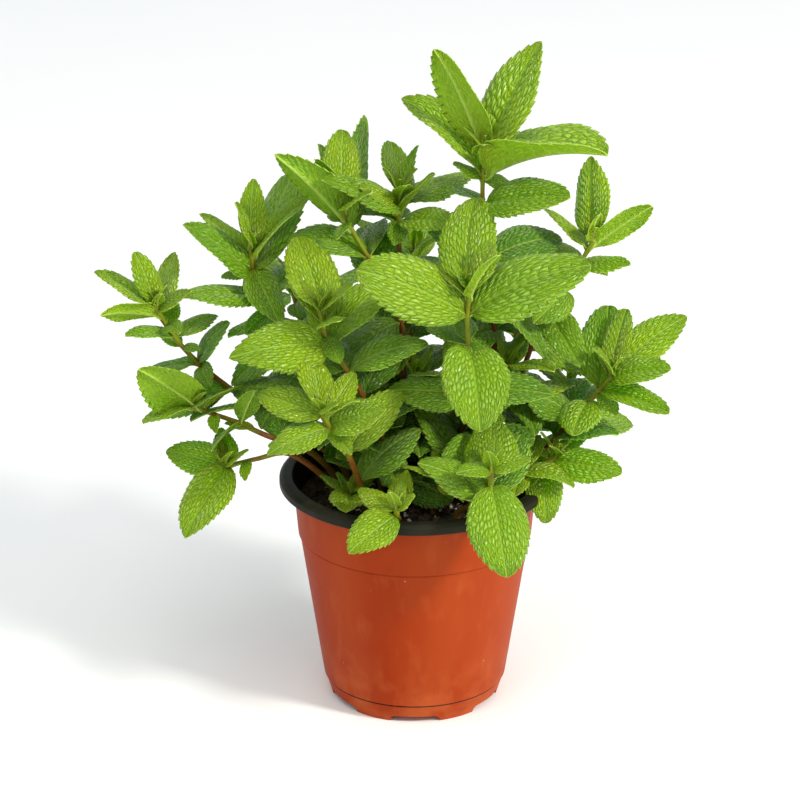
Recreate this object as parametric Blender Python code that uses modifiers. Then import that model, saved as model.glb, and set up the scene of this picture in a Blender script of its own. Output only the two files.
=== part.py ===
"""A mint plant growing in a round nursery pot, as separate solids in one frame.

The origin is the centre of the pot's base, +Z is up and -Y is the front. The plan of the plant
is written in millimetres and degrees, and everything that is built from it is in metres.
"""

import math
from dataclasses import dataclass

import bmesh
import bpy
from mathutils import Matrix, Vector

MM = 0.001
GAP = 0.3  # clear space between pieces that touch
MERGE = 0.00001

# Pot, a thermoformed 12 cm grower's pot. Millimetres.
POT_HEIGHT = 104.5
LIP_RADIUS, LIP_DROP, LIP_ROUND = 60.0, 5.0, 1.2
MOUTH_RADIUS, MOUTH_DROP = 53.5, 3.0
WALL_TOP_RADIUS = 53.8
BAND_Z, BAND_RADIUS = 77.0, 51.8
FOOT_Z, FOOT_RADIUS = 9.0, 40.8
BASE_RADIUS, FOOT_RING = 37.5, 4.0
STEP = 0.7  # how far the wall steps in under the band and above the foot
WALL = 1.0
FLOOR_Z, RECESS, PAD_RADIUS = 4.0, 2.5, 12.0
NOTCHES, NOTCH_WIDTH, NOTCH_HEIGHT, NOTCH_SIDES = 6, 22.0, 3.0, 48
DRAINS, DRAIN_RADIUS, DRAIN_RING = 6, 3.5, 23.0
AROUND = 32

# Soil, filled to a little under the lip. Millimetres.
SOIL_Z, SOIL_CROWN = 93.0, 1.5
ROOT_DEPTH = 6.0
SOCKET = 0.7  # clearance of the hole that a stem stands in
SOCKET_SIDES = 10

# Shoots. Millimetres.
STEM_BOTTOM, STEM_TOP = 1.7, 1.1  # radii
STEM_POINTS = 10
UPRIGHT = 4.0  # how far a stem stands straight up out of the soil
CROWN_BELOW = 3.0  # how far the tip rosette's solid reaches below its lowest leaves
CORE_SPACING = 9.0
COLLAR_LENGTH, COLLAR_WALL, COLLAR_SIDES = 4.0, 1.2, 10
BUD_LENGTH, BUD_RADIUS = 5.0, 1.5
LEAF_THICK = 0.8
LEAF_STATIONS = (0.0, 0.14, 0.4, 0.74, 1.0)
PETIOLE, PETIOLE_HALF = 0.09, 1.0
LEAF_WIDTH, TIP_HALF = 0.5, 0.35
WIDEST, FULLNESS, TAPER = 0.78, 0.72, 0.12  # where a leaf is widest, how full and how tapered it is


@dataclass(frozen=True)
class Leaf:
    """One leaf: its compass turn and rise in degrees, its length, its roll and how far it arches."""

    turn: float
    rise: float
    length: float
    roll: float = 0.0
    sag: float = 30.0
    width: float = LEAF_WIDTH


@dataclass(frozen=True)
class Pair:
    """Leaves that grow from one joint of the stem, this far back from the shoot's apex."""

    back: float
    leaves: tuple


@dataclass(frozen=True)
class Shoot:
    """The stem's route from the soil to the apex, the tip rosette and the leaf pairs under it."""

    name: str
    route: tuple
    crown: tuple
    pairs: tuple = ()


# A route starts with the place on the soil, and its other points are (x, y, z).
SHOOTS = (
    Shoot(
        "tall",
        ((14, 12), (34, 13, 150), (31, 11, 200), (29, 10, 230), (30, 10, 250)),
        (
            Pair(12, (Leaf(150, 33, 50, -10), Leaf(-25, 17, 62, 25, 40))),
            Pair(4, (Leaf(-168, 65, 55, 40, 10, 0.42), Leaf(30, 60, 56, 20, 20))),
        ),
        (Pair(25, (Leaf(-35, 15, 46, 30), Leaf(125, 5, 22, 10))),),
    ),
    Shoot(
        "top_middle",
        ((-2, 18), (-2, 22, 155), (-6, 24, 186), (-7, 25, 211), (-7, 25, 226)),
        (
            Pair(7, (Leaf(40, 12, 42), Leaf(-140, 32, 26, -40))),
            Pair(3, (Leaf(95, 38, 34, 30, 15), Leaf(58, 50, 24, -20))),
        ),
        (Pair(14, (Leaf(148, 8, 44, -10), Leaf(-42, 10, 34, 20))),),
    ),
    Shoot(
        "top_left",
        ((-8, 10), (-5, 15, 158), (-12, 15, 185), (-23, 15, 204), (-30, 15, 217), (-32, 15, 227)),
        (
            Pair(16, (Leaf(-160, 45, 50, 50, 15, 0.42), Leaf(80, 47, 56, 70, 10, 0.36))),
            Pair(7, (Leaf(120, 48, 34, 20), Leaf(-55, 35, 26, 20))),
            Pair(2, (Leaf(90, 50, 34, 20, 15), Leaf(-160, 60, 24, 30))),
        ),
    ),
    Shoot(
        "upper_left",
        ((-18, 14), (-35, 16, 132), (-54, 18, 158), (-64, 20, 173), (-70, 20, 186), (-72, 20, 202)),
        (
            Pair(14, (Leaf(-156, 40, 44, -40), Leaf(60, 48, 54, -10, 20))),
            Pair(5, (Leaf(135, 25, 32, 10), Leaf(-40, 30, 26, 30))),
            Pair(1, (Leaf(85, 50, 34, 20, 15), Leaf(-120, 65, 22, -60))),
        ),
        (Pair(25, (Leaf(-149, 5, 42, -10), Leaf(50, 15, 44, 0))),),
    ),
    Shoot(
        "middle_left",
        ((-5, -12), (-14, -15, 126), (-22, -18, 146), (-31, -20, 163), (-38, -20, 175), (-41, -19, 188)),
        (
            Pair(8, (Leaf(110, 40, 46, 0, 20), Leaf(-70, 25, 24, 20))),
            Pair(2, (Leaf(165, 45, 22, 0), Leaf(-10, 45, 20, 10))),
        ),
        (Pair(17, (Leaf(-153, 3, 48, -50), Leaf(42, 30, 42, 10))),),
    ),
    Shoot(
        "front_left",
        ((-22, -25), (-24, -31, 112), (-30, -40, 132), (-36, -45, 143), (-40, -45, 151)),
        (
            Pair(8, (Leaf(-156, -15, 30, -20, 30, 0.58), Leaf(-20, 25, 28, 40, 30, 0.6))),
            Pair(3, (Leaf(155, 10, 32, -30, 30, 0.56), Leaf(55, 32, 26, 20))),
            Pair(0, (Leaf(105, 40, 27, 20, 15, 0.56), Leaf(-60, 30, 16, 30))),
        ),
    ),
    Shoot(
        "far_left",
        ((-30, 8), (-46, 12, 115), (-75, 13, 134), (-94, 10, 151), (-106, 6, 167), (-113, 5, 180)),
        (
            Pair(5, (Leaf(-149, 12, 30, 50), Leaf(74, 38, 34, -30, 20))),
            Pair(2, (Leaf(162, 32, 32, 0, 20), Leaf(-20, 35, 20, 30))),
            Pair(0, (Leaf(150, 68, 28, -20, 15), Leaf(-40, 60, 14, 20))),
        ),
        (
            Pair(17, (Leaf(-153, 12, 24, -10), Leaf(40, 12, 24, 10))),
            Pair(34, (Leaf(165, -15, 26, -10), Leaf(-20, 55, 26, 40))),
        ),
    ),
    Shoot(
        "side_left",
        ((-35, 2), (-46, 0, 114), (-65, -3, 123), (-80, -5, 131), (-97, -5, 137)),
        (
            Pair(4, (Leaf(-148, 40, 40, 60, 15, 0.6), Leaf(30, 20, 22, -30))),
            Pair(0, (Leaf(-155, -8, 24), Leaf(-40, 35, 14, 20))),
        ),
        (Pair(22, (Leaf(-125, -15, 22, 40), Leaf(-50, 60, 22, -30))),),
    ),
    Shoot(
        "low_left",
        ((-36, -10), (-40, -12, 107), (-55, -14, 119), (-69, -15, 117), (-84, -15, 113)),
        (
            Pair(4, (Leaf(-127, -36, 40, -10, 20, 0.55), Leaf(110, 35, 20, 0))),
            Pair(1, (Leaf(162, 8, 28, -40, 20, 0.6), Leaf(-30, 40, 16, 20))),
        ),
    ),
    Shoot(
        "front_middle",
        ((10, -12), (27, -19, 128), (24, -26, 163), (22, -30, 185), (23, -30, 200)),
        (
            Pair(11, (Leaf(-161, 28, 56, -60), Leaf(-8, 26, 58, 40))),
            Pair(4, (Leaf(85, 42, 50, -10, 20), Leaf(-45, 55, 30, 10))),
            Pair(1, (Leaf(30, 60, 24, 20), Leaf(-160, 60, 20, -20))),
        ),
        (Pair(26, (Leaf(-84, -30, 46, 0, 30, 0.62), Leaf(110, 0, 40, -10))),),
    ),
    Shoot(
        "upper_right",
        ((25, 15), (43, 18, 132), (53, 18, 162), (59, 19, 174), (69, 20, 189), (78, 20, 206)),
        (
            Pair(5, (Leaf(-16, 35, 36, -50, 20), Leaf(165, 40, 26, 0))),
            Pair(1, (Leaf(85, 52, 40, -30, 15), Leaf(-80, 55, 20, 40))),
        ),
        (Pair(14, (Leaf(130, 10, 34, 0), Leaf(-30, 12, 26, 20))),),
    ),
    Shoot(
        "right",
        ((30, 0), (43, 0, 106), (56, 0, 114), (68, 0, 128), (79, 0, 141), (86, 0, 150)),
        (
            Pair(9, (Leaf(-35, -8, 36, 20), Leaf(112, 22, 38, 20))),
            Pair(3, (Leaf(95, 40, 38, 20, 20), Leaf(-28, 20, 32, 30))),
            Pair(0, (Leaf(25, 30, 44, 30, 20), Leaf(-130, 50, 22, -40))),
        ),
        (Pair(24, (Leaf(-120, 10, 24, -20), Leaf(60, 0, 26, 0))),),
    ),
    Shoot(
        "front_right",
        ((18, -34), (25, -40, 106), (31, -49, 112), (32, -56, 122), (32, -58, 130)),
        (
            Pair(7, (Leaf(-79, -42, 44, 0, 20, 0.6), Leaf(88, 26, 38, 0, 20, 0.6))),
            Pair(1, (Leaf(-147, 10, 18, -30), Leaf(-10, 20, 18, 40))),
        ),
    ),
    Shoot(
        "low_right",
        ((34, -7), (43, -9, 106), (54, -11, 112), (62, -12, 117)),
        (
            Pair(3, (Leaf(-27, 0, 34, 40), Leaf(140, 5, 18, 0))),
            Pair(0, (Leaf(30, 20, 18), Leaf(-110, 40, 14, -20))),
        ),
    ),
    Shoot(
        "low_middle",
        ((-8, -35), (-7, -44, 101), (-8, -54, 107), (-8, -57, 111)),
        (
            Pair(4, (Leaf(-138, -20, 29, -30, 20, 0.62), Leaf(75, 38, 22, 0))),
            Pair(1, (Leaf(150, 18, 20, -30), Leaf(-23, 46, 12, 40))),
        ),
    ),
    Shoot(
        "rear_middle",
        ((-4, 34), (-4, 50, 125), (-2, 62, 150), (0, 68, 172), (0, 70, 186)),
        (
            Pair(10, (Leaf(100, 10, 46, 0), Leaf(-60, 45, 34, 20))),
            Pair(3, (Leaf(10, 30, 34, 0), Leaf(-170, 30, 34, 0))),
        ),
        (Pair(26, (Leaf(10, 5, 44, 0), Leaf(-170, 5, 44, 0))),),
    ),
    Shoot(
        "rear_left",
        ((-26, 26), (-38, 44, 120), (-48, 58, 142), (-54, 66, 160), (-56, 70, 172)),
        (
            Pair(9, (Leaf(130, 10, 44, 0), Leaf(-50, 45, 30, 10))),
            Pair(3, (Leaf(50, 30, 32, 0), Leaf(-150, 30, 32, 0))),
        ),
        (Pair(24, (Leaf(50, 5, 40, 0), Leaf(-145, 5, 40, 0))),),
    ),
    Shoot(
        "rear_right",
        ((22, 30), (34, 48, 118), (44, 60, 138), (50, 68, 154), (53, 72, 166)),
        (
            Pair(9, (Leaf(60, 10, 44, 0), Leaf(-130, 45, 30, 10))),
            Pair(3, (Leaf(130, 30, 32, 0), Leaf(-30, 30, 32, 0))),
        ),
        (Pair(24, (Leaf(140, 5, 40, 0), Leaf(-40, 5, 40, 0))),),
    ),
)

# Sprigs that have only just come up between the shoots: one solid each, stem and all.
SPRIGS = (
    Shoot(
        "low_left",
        ((-26, -14), (-27, -18, 98), (-28, -22, 103)),
        (Pair(2, (Leaf(-114, -5, 16), Leaf(64, 8, 20))), Pair(0, (Leaf(170, 30, 16), Leaf(-10, 40, 14)))),
    ),
    Shoot(
        "low_middle",
        ((8, -22), (10, -25, 102), (11, -28, 114)),
        (Pair(3, (Leaf(-60, -5, 20), Leaf(110, 16, 24))), Pair(0, (Leaf(-165, 20, 18), Leaf(20, 30, 20)))),
    ),
    Shoot(
        "low_right",
        ((34, -16), (40, -17, 103), (46, -19, 112)),
        (Pair(3, (Leaf(-38, 12, 22), Leaf(140, 8, 24))), Pair(0, (Leaf(-100, -8, 20), Leaf(64, 30, 22)))),
    ),
    Shoot(
        "inner_left",
        ((-15, 0), (-18, 4, 118), (-24, 4, 138), (-27, 4, 150)),
        (
            Pair(32, (Leaf(175, 5, 30), Leaf(-60, 5, 20))),
            Pair(15, (Leaf(-110, 15, 26), Leaf(95, 10, 22))),
            Pair(3, (Leaf(165, 15, 32), Leaf(30, 35, 18))),
        ),
    ),
    Shoot(
        "inner_middle",
        ((2, 0), (2, 2, 118), (1, 2, 138), (0, 2, 150)),
        (
            Pair(30, (Leaf(-90, 5, 28), Leaf(80, 5, 20))),
            Pair(14, (Leaf(-175, 5, 20), Leaf(-5, 5, 30))),
            Pair(3, (Leaf(-70, 25, 26), Leaf(60, 30, 16))),
        ),
    ),
    Shoot(
        "inner_right",
        ((24, 0), (30, 2, 120), (38, 2, 142), (42, 2, 155)),
        (
            Pair(34, (Leaf(-60, 0, 30), Leaf(75, 0, 16))),
            Pair(16, (Leaf(10, 5, 34), Leaf(-170, 10, 26))),
            Pair(3, (Leaf(-50, 15, 30), Leaf(165, 20, 20))),
        ),
    ),
    Shoot(
        "rear_low",
        ((14, 38), (18, 54, 112), (22, 64, 124), (24, 68, 132)),
        (
            Pair(14, (Leaf(60, 0, 34), Leaf(-130, 10, 26))),
            Pair(3, (Leaf(130, 0, 32), Leaf(-80, 20, 22))),
        ),
    ),
    Shoot(
        "rear_low_right",
        ((36, 18), (54, 30, 116), (64, 36, 124), (70, 38, 130)),
        (
            Pair(12, (Leaf(80, 5, 28), Leaf(-80, 5, 26))),
            Pair(2, (Leaf(20, 5, 34), Leaf(150, 30, 22))),
        ),
    ),
)

COLOURS = {
    "pot": (0.60, 0.13, 0.05, 0.45),
    "soil": (0.02, 0.015, 0.01, 0.95),
    "stem": (0.22, 0.20, 0.06, 0.6),
    "leaf": (0.16, 0.36, 0.03, 0.5),
}


def material(name):
    """The named finish, made once."""
    found = bpy.data.materials.get(name)
    if found:
        return found
    made = bpy.data.materials.new(name)
    made.use_nodes = True
    shader = made.node_tree.nodes["Principled BSDF"]
    red, green, blue, roughness = COLOURS[name]
    shader.inputs["Base Color"].default_value = (red, green, blue, 1)
    shader.inputs["Roughness"].default_value = roughness
    shader.inputs["Metallic"].default_value = 0.0
    made.diffuse_color = (red, green, blue, 1)
    return made


def collection(name):
    """A new collection of the scene."""
    made = bpy.data.collections.new(name)
    bpy.context.scene.collection.children.link(made)
    return made


def add_object(name, data, finish, into):
    """An object of this mesh or curve, in a collection."""
    made = bpy.data.objects.new(name, data)
    into.objects.link(made)
    if finish:
        data.materials.append(material(finish))
    return made


def add_cutter(name, mesh, into):
    """A mesh that only shapes others."""
    made = add_object(name, mesh, None, into)
    made.hide_render = True
    made.display_type = "WIRE"
    return made


def mesh_of(name, solid):
    """The bmesh as a mesh."""
    mesh = bpy.data.meshes.new(name)
    solid.to_mesh(mesh)
    solid.free()
    return mesh


def boolean(target, cutter, operation):
    """A live Boolean modifier."""
    made = target.modifiers.new(f"{operation.lower()}_{cutter.name}", "BOOLEAN")
    made.object = cutter
    made.operation = operation
    made.solver = "EXACT"
    return made


def baked(name, source, finish, into):
    """A plain mesh object made from the evaluated one, which is removed."""
    evaluated = source.evaluated_get(bpy.context.evaluated_depsgraph_get())
    mesh = bpy.data.meshes.new_from_object(evaluated)
    mesh.transform(source.matrix_world)
    solid = bmesh.new()
    solid.from_mesh(mesh)
    bmesh.ops.remove_doubles(solid, verts=solid.verts, dist=MERGE)
    solid.to_mesh(mesh)
    solid.free()
    bpy.data.objects.remove(source)
    mesh.materials.clear()
    return add_object(name, mesh, finish, into)


def turned(name, profile, finish, into, around=AROUND):
    """A solid of revolution about Z from (radius, z) points in millimetres."""
    mesh = bpy.data.meshes.new(name)
    points = [(radius * MM, 0, z * MM) for radius, z in profile]
    mesh.from_pydata(points, [(i, i + 1) for i in range(len(points) - 1)], [])
    made = add_object(name, mesh, finish, into)
    screw = made.modifiers.new("turn", "SCREW")
    screw.steps = screw.render_steps = around
    screw.use_merge_vertices = True
    screw.merge_threshold = MERGE
    screw.use_smooth_shade = True
    return made


def cylinder(name, radius, low, high, into, sides=16):
    """A cutter that runs from one point to another, in millimetres."""
    axis = Vector(high) - Vector(low)
    solid = bmesh.new()
    bmesh.ops.create_cone(
        solid, cap_ends=True, segments=sides, radius1=radius * MM, radius2=radius * MM, depth=axis.length * MM
    )
    turn = axis.to_track_quat("Z", "Y").to_matrix().to_4x4()
    middle = (Vector(low) + Vector(high)) / 2 * MM
    bmesh.ops.transform(solid, matrix=Matrix.Translation(middle) @ turn, verts=solid.verts)
    return add_cutter(name, mesh_of(name, solid), into)


# Pot


def outer_wall():
    """The pot's outside, from under the lip to the foot, as (radius, z)."""
    return [
        (WALL_TOP_RADIUS, POT_HEIGHT - LIP_DROP),
        (BAND_RADIUS, BAND_Z),
        (BAND_RADIUS - STEP, BAND_Z - STEP),
        (FOOT_RADIUS + STEP, FOOT_Z + STEP),
        (FOOT_RADIUS, FOOT_Z),
        (BASE_RADIUS + STEP, STEP),
        (BASE_RADIUS, 0),
    ]


def inner_wall():
    """The pot's inside, from the floor to the mouth, as (radius, z)."""
    return [
        (BASE_RADIUS - WALL - STEP, FLOOR_Z),
        (FOOT_RADIUS - WALL - STEP, FOOT_Z),
        (BAND_RADIUS - STEP - WALL, BAND_Z),
        (MOUTH_RADIUS - WALL, POT_HEIGHT - MOUTH_DROP - 2 * STEP),
    ]


def build_pot(into, cutters):
    """The pot in one piece: wall, rolled lip, floor, foot ring, notches and drain holes."""
    lip = [
        (MOUTH_RADIUS, POT_HEIGHT - LIP_ROUND),
        (MOUTH_RADIUS + LIP_ROUND, POT_HEIGHT),
        (LIP_RADIUS - LIP_ROUND, POT_HEIGHT),
        (LIP_RADIUS, POT_HEIGHT - LIP_ROUND),
        (LIP_RADIUS, POT_HEIGHT - LIP_DROP),
        (LIP_RADIUS - WALL, POT_HEIGHT - LIP_DROP),
        (LIP_RADIUS - WALL - STEP, POT_HEIGHT - MOUTH_DROP),
        (WALL_TOP_RADIUS + STEP, POT_HEIGHT - MOUTH_DROP),
    ]
    under = [
        (BASE_RADIUS - FOOT_RING, 0),
        (BASE_RADIUS - FOOT_RING - STEP, RECESS),
        (PAD_RADIUS + STEP, RECESS),
        (PAD_RADIUS, 0),
        (0, 0),
    ]
    pot = turned("pot", [(0, FLOOR_Z), *inner_wall(), *lip, *outer_wall(), *under], "pot", into)
    for index in range(NOTCHES):
        angle = math.radians(-90 + 360 / NOTCHES * index)
        out = Vector((math.cos(angle), math.sin(angle), 0))
        radius = (NOTCH_WIDTH**2 / 4 + NOTCH_HEIGHT**2) / (2 * NOTCH_HEIGHT)
        low = out * (BASE_RADIUS - 2 * FOOT_RING) + Vector((0, 0, NOTCH_HEIGHT - radius))
        high = out * (BASE_RADIUS + 2 * FOOT_RING) + Vector((0, 0, NOTCH_HEIGHT - radius))
        notch = cylinder(f"notch_{index}", radius, low, high, cutters, NOTCH_SIDES)
        boolean(pot, notch, "DIFFERENCE")
    for index in range(DRAINS):
        angle = math.radians(360 / DRAINS * index)
        place = Vector((math.cos(angle), math.sin(angle), 0)) * DRAIN_RING
        hole = cylinder(f"drain_{index}", DRAIN_RADIUS, place, place + Vector((0, 0, 2 * FLOOR_Z)), cutters)
        boolean(pot, hole, "DIFFERENCE")
    return pot


def build_soil(into, cutters):
    """The filled soil, with a socket for each stem."""
    side = [(radius - GAP, z + GAP) for radius, z in inner_wall()[:-1]]
    low, high = inner_wall()[-2:]
    share = (SOIL_Z - low[1]) / (high[1] - low[1])
    edge = low[0] + (high[0] - low[0]) * share - GAP
    top = [(0, SOIL_Z + SOIL_CROWN), (edge / 2, SOIL_Z + SOIL_CROWN / 2), (edge, SOIL_Z)]
    soil = turned("soil", [*top, *reversed(side), (0, FLOOR_Z + GAP)], "soil", into)
    for shoot in SHOOTS + SPRIGS:
        x, y = shoot.route[0]
        hole = cylinder(
            f"socket_{x}_{y}",
            STEM_BOTTOM + SOCKET,
            (x, y, SOIL_Z - ROOT_DEPTH - GAP),
            (x, y, SOIL_Z + 2 * ROOT_DEPTH),
            cutters,
            SOCKET_SIDES,
        )
        boolean(soil, hole, "DIFFERENCE")
    return soil


# Shoots


def smooth_route(shoot, steps=12):
    """Closely spaced points along the shoot, from its foot in the soil to the apex."""
    x, y = shoot.route[0]
    foot = Vector((x, y, SOIL_Z - ROOT_DEPTH))
    collar = foot + Vector((0, 0, ROOT_DEPTH + UPRIGHT))
    points = [collar] + [Vector(point) for point in shoot.route[1:]]
    upright = Vector((0, 0, (points[1] - collar).length))
    points = [points[1] - 2 * upright, *points, 2 * points[-1] - points[-2]]
    smooth = [foot]
    for before, start, end, after in zip(points, points[1:], points[2:], points[3:]):
        for step in range(steps):
            t = step / steps
            smooth.append(
                start
                + (end - before) * (t / 2)
                + (2 * before - 5 * start + 4 * end - after) * (t * t / 2)
                + (3 * start - before - 3 * end + after) * (t**3 / 2)
            )
    return [*smooth, points[-2]]


def along(points, back):
    """The place this far back from the apex, and the direction of growth there."""
    for index in range(len(points) - 1, 0, -1):
        span = (points[index] - points[index - 1]).length
        if back <= span or index == 1:
            share = back / span
            place = points[index].lerp(points[index - 1], share)
            return place, (points[index] - points[index - 1]).normalized()
        back -= span
    return points[-1], Vector((0, 0, 1))


def length_of(points):
    """The length of a line of points."""
    return sum((end - start).length for start, end in zip(points, points[1:]))


def radius_at(share):
    """The stem's radius, from 0 at the soil to 1 at the apex."""
    return STEM_BOTTOM + (STEM_TOP - STEM_BOTTOM) * share


def tube(name, places, radii, finish, into):
    """A capped tube through these places, all in millimetres."""
    curve = bpy.data.curves.new(name, "CURVE")
    curve.dimensions = "3D"
    curve.bevel_depth = MM
    curve.bevel_resolution = 1
    curve.use_fill_caps = True
    line = curve.splines.new("POLY")
    line.points.add(len(places) - 1)
    for point, place, radius in zip(line.points, places, radii):
        point.co = (*(place * MM), 1)
        point.radius = radius
    return add_object(name, curve, finish, into)


def half_width(share):
    """A leaf's half width at this share of its length, as a part of the widest."""
    run = min(max((share - PETIOLE) / (1 - PETIOLE), 0), 1)
    return math.sin(math.pi * run**WIDEST) ** FULLNESS * (1 - TAPER * run)


def leaf_solid(solid, leaf, place):
    """Adds one leaf: an arched blade on a short stalk."""
    turn, rise = math.radians(leaf.turn), math.radians(leaf.rise)
    out = Vector((math.cos(turn) * math.cos(rise), math.sin(turn) * math.cos(rise), math.sin(rise)))
    face = (Vector((0, 0, 1)) - out * out.z).normalized()
    side = out.cross(face)
    roll = math.radians(leaf.roll)
    face, side = face * math.cos(roll) + side * math.sin(roll), side * math.cos(roll) - face * math.sin(roll)
    arch = math.radians(leaf.sag)
    bend = leaf.length / (2 * math.sin(arch / 2))
    grid = bmesh.ops.create_grid(solid, x_segments=len(LEAF_STATIONS) - 1, y_segments=1, size=1.0)
    for vertex in grid["verts"]:
        share = LEAF_STATIONS[round((vertex.co.x + 1) / 2 * (len(LEAF_STATIONS) - 1))]
        across = vertex.co.y
        lean = arch * (0.5 - share)
        spine = out * bend * (math.sin(arch / 2) - math.sin(lean))
        spine += face * bend * (math.cos(lean) - math.cos(arch / 2))
        half = max(half_width(share) * leaf.length * leaf.width / 2, PETIOLE_HALF if share < 0.5 else TIP_HALF)
        vertex.co = (place + spine + side * (across * half)) * MM
    solid.normal_update()
    bmesh.ops.solidify(solid, geom=solid.faces[:], thickness=LEAF_THICK * MM)
    bmesh.ops.recalc_face_normals(solid, faces=solid.faces)


def leaf_object(name, leaf, place, into):
    """One leaf as a cutter object, ready to be joined."""
    solid = bmesh.new()
    leaf_solid(solid, leaf, place)
    return add_cutter(name, mesh_of(name, solid), into)


def build_pair(shoot, index, points, total, into, cutters):
    """A pair of leaves on a collar that clasps the stem."""
    pair = shoot.pairs[index]
    name = f"leaf_pair_{shoot.name}_{index + 1}"
    place, grow = along(points, pair.back)
    radius = radius_at(1 - pair.back / total)
    half = grow * (COLLAR_LENGTH / 2)
    outside = radius + COLLAR_WALL + GAP
    ring = cylinder(f"{name}_ring", outside, place - half, place + half, cutters, COLLAR_SIDES)
    collar = add_object(name, ring.data.copy(), "leaf", into)
    bpy.data.objects.remove(ring)
    for number, leaf in enumerate(pair.leaves):
        boolean(collar, leaf_object(f"{name}_blade_{number}", leaf, place, cutters), "UNION")
    reach = grow * (4 * COLLAR_LENGTH)
    inside = radius + 2 * GAP
    bore = cylinder(f"{name}_bore", inside, place - reach, place + reach, cutters, COLLAR_SIDES)
    boolean(collar, bore, "DIFFERENCE")
    return collar


def build_crown(shoot, points, total, name, start, into, cutters):
    """The rosette at the tip: the last of the stem, its leaves and the bud, grown as one."""
    spans = max(3, round(start / CORE_SPACING))
    back = [start * (spans - step) / spans for step in range(spans + 1)]
    places = [along(points, value)[0] for value in back]
    tip, grow = along(points, 0)
    places.append(tip + grow * BUD_LENGTH)
    radii = [radius_at(1 - value / total) for value in back]
    radii[-1] = BUD_RADIUS
    radii.append(BUD_RADIUS / 2)
    core = baked(name, tube(f"{name}_core", places, radii, None, cutters), "leaf", into)
    for pair_number, pair in enumerate(shoot.crown):
        place, _ = along(points, pair.back)
        for number, leaf in enumerate(pair.leaves):
            blade = leaf_object(f"{name}_blade_{pair_number}_{number}", leaf, place, cutters)
            boolean(core, blade, "UNION")
    return core


def build_shoot(shoot, into, cutters):
    """The stem, the leaf pairs on it and the rosette at its tip."""
    points = smooth_route(shoot)
    total = length_of(points)
    start = max(pair.back for pair in shoot.crown) + CROWN_BELOW
    backs = [total - (total - start - 2 * GAP) * step / (STEM_POINTS - 1) for step in range(STEM_POINTS)]
    places = [along(points, value)[0] for value in backs]
    tube(f"stem_{shoot.name}", places, [radius_at(1 - value / total) for value in backs], "stem", into)
    for index in range(len(shoot.pairs)):
        build_pair(shoot, index, points, total, into, cutters)
    build_crown(shoot, points, total, f"crown_{shoot.name}", start, into, cutters)


def main():
    """Builds the potted plant in an empty scene."""
    for found in list(bpy.data.objects):
        bpy.data.objects.remove(found)
    plant = collection("potted_mint")
    cutters = collection("cutters")
    build_pot(plant, cutters)
    build_soil(plant, cutters)
    for shoot in SHOOTS:
        build_shoot(shoot, plant, cutters)
    for sprig in SPRIGS:
        points = smooth_route(sprig)
        total = length_of(points)
        build_crown(sprig, points, total, f"sprig_{sprig.name}", total, plant, cutters)


main()
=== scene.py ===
"""A mint plant in its nursery pot: the finished look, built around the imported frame.

Lengths are in millimetres in the plan and turned into metres where a mesh gets its points.
"""

from __future__ import annotations

import logging
import math
import random
from dataclasses import dataclass, field
from enum import Enum
from functools import cached_property
from typing import Any, Iterable, Sequence

import bmesh
import bpy
import numpy as np
from mathutils import Matrix, Vector, noise

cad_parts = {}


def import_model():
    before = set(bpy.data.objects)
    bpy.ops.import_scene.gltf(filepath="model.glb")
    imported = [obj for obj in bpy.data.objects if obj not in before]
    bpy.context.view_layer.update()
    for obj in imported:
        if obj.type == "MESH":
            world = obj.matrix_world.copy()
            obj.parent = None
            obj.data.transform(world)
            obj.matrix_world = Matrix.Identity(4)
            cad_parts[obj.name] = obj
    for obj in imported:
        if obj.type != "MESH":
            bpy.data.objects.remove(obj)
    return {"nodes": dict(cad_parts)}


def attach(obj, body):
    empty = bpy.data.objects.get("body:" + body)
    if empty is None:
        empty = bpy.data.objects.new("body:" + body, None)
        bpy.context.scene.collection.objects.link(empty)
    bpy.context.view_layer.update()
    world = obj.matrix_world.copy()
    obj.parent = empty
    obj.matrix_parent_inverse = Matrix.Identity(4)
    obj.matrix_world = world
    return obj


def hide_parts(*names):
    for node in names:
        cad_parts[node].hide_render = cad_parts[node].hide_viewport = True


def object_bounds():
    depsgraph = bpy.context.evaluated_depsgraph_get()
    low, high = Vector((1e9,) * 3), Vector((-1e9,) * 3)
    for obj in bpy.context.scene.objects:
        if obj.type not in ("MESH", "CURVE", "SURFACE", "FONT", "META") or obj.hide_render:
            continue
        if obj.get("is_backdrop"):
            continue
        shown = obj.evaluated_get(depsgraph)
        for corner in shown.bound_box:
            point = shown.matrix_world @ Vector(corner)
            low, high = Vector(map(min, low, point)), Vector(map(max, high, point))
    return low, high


LOG = logging.getLogger("potted_mint")
MM = 0.001
BODY = "root"
DOME_EDGE = 2.6
DOME_ROUND = 0.6
MARKS_ALONG = (0.3, 0.45, 0.6, 0.75, 0.9, 1.0)
MARKS_ACROSS = (-0.8, 0.0, 0.8)

Colour = tuple[float, float, float, float]


# Plan of the plant


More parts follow.
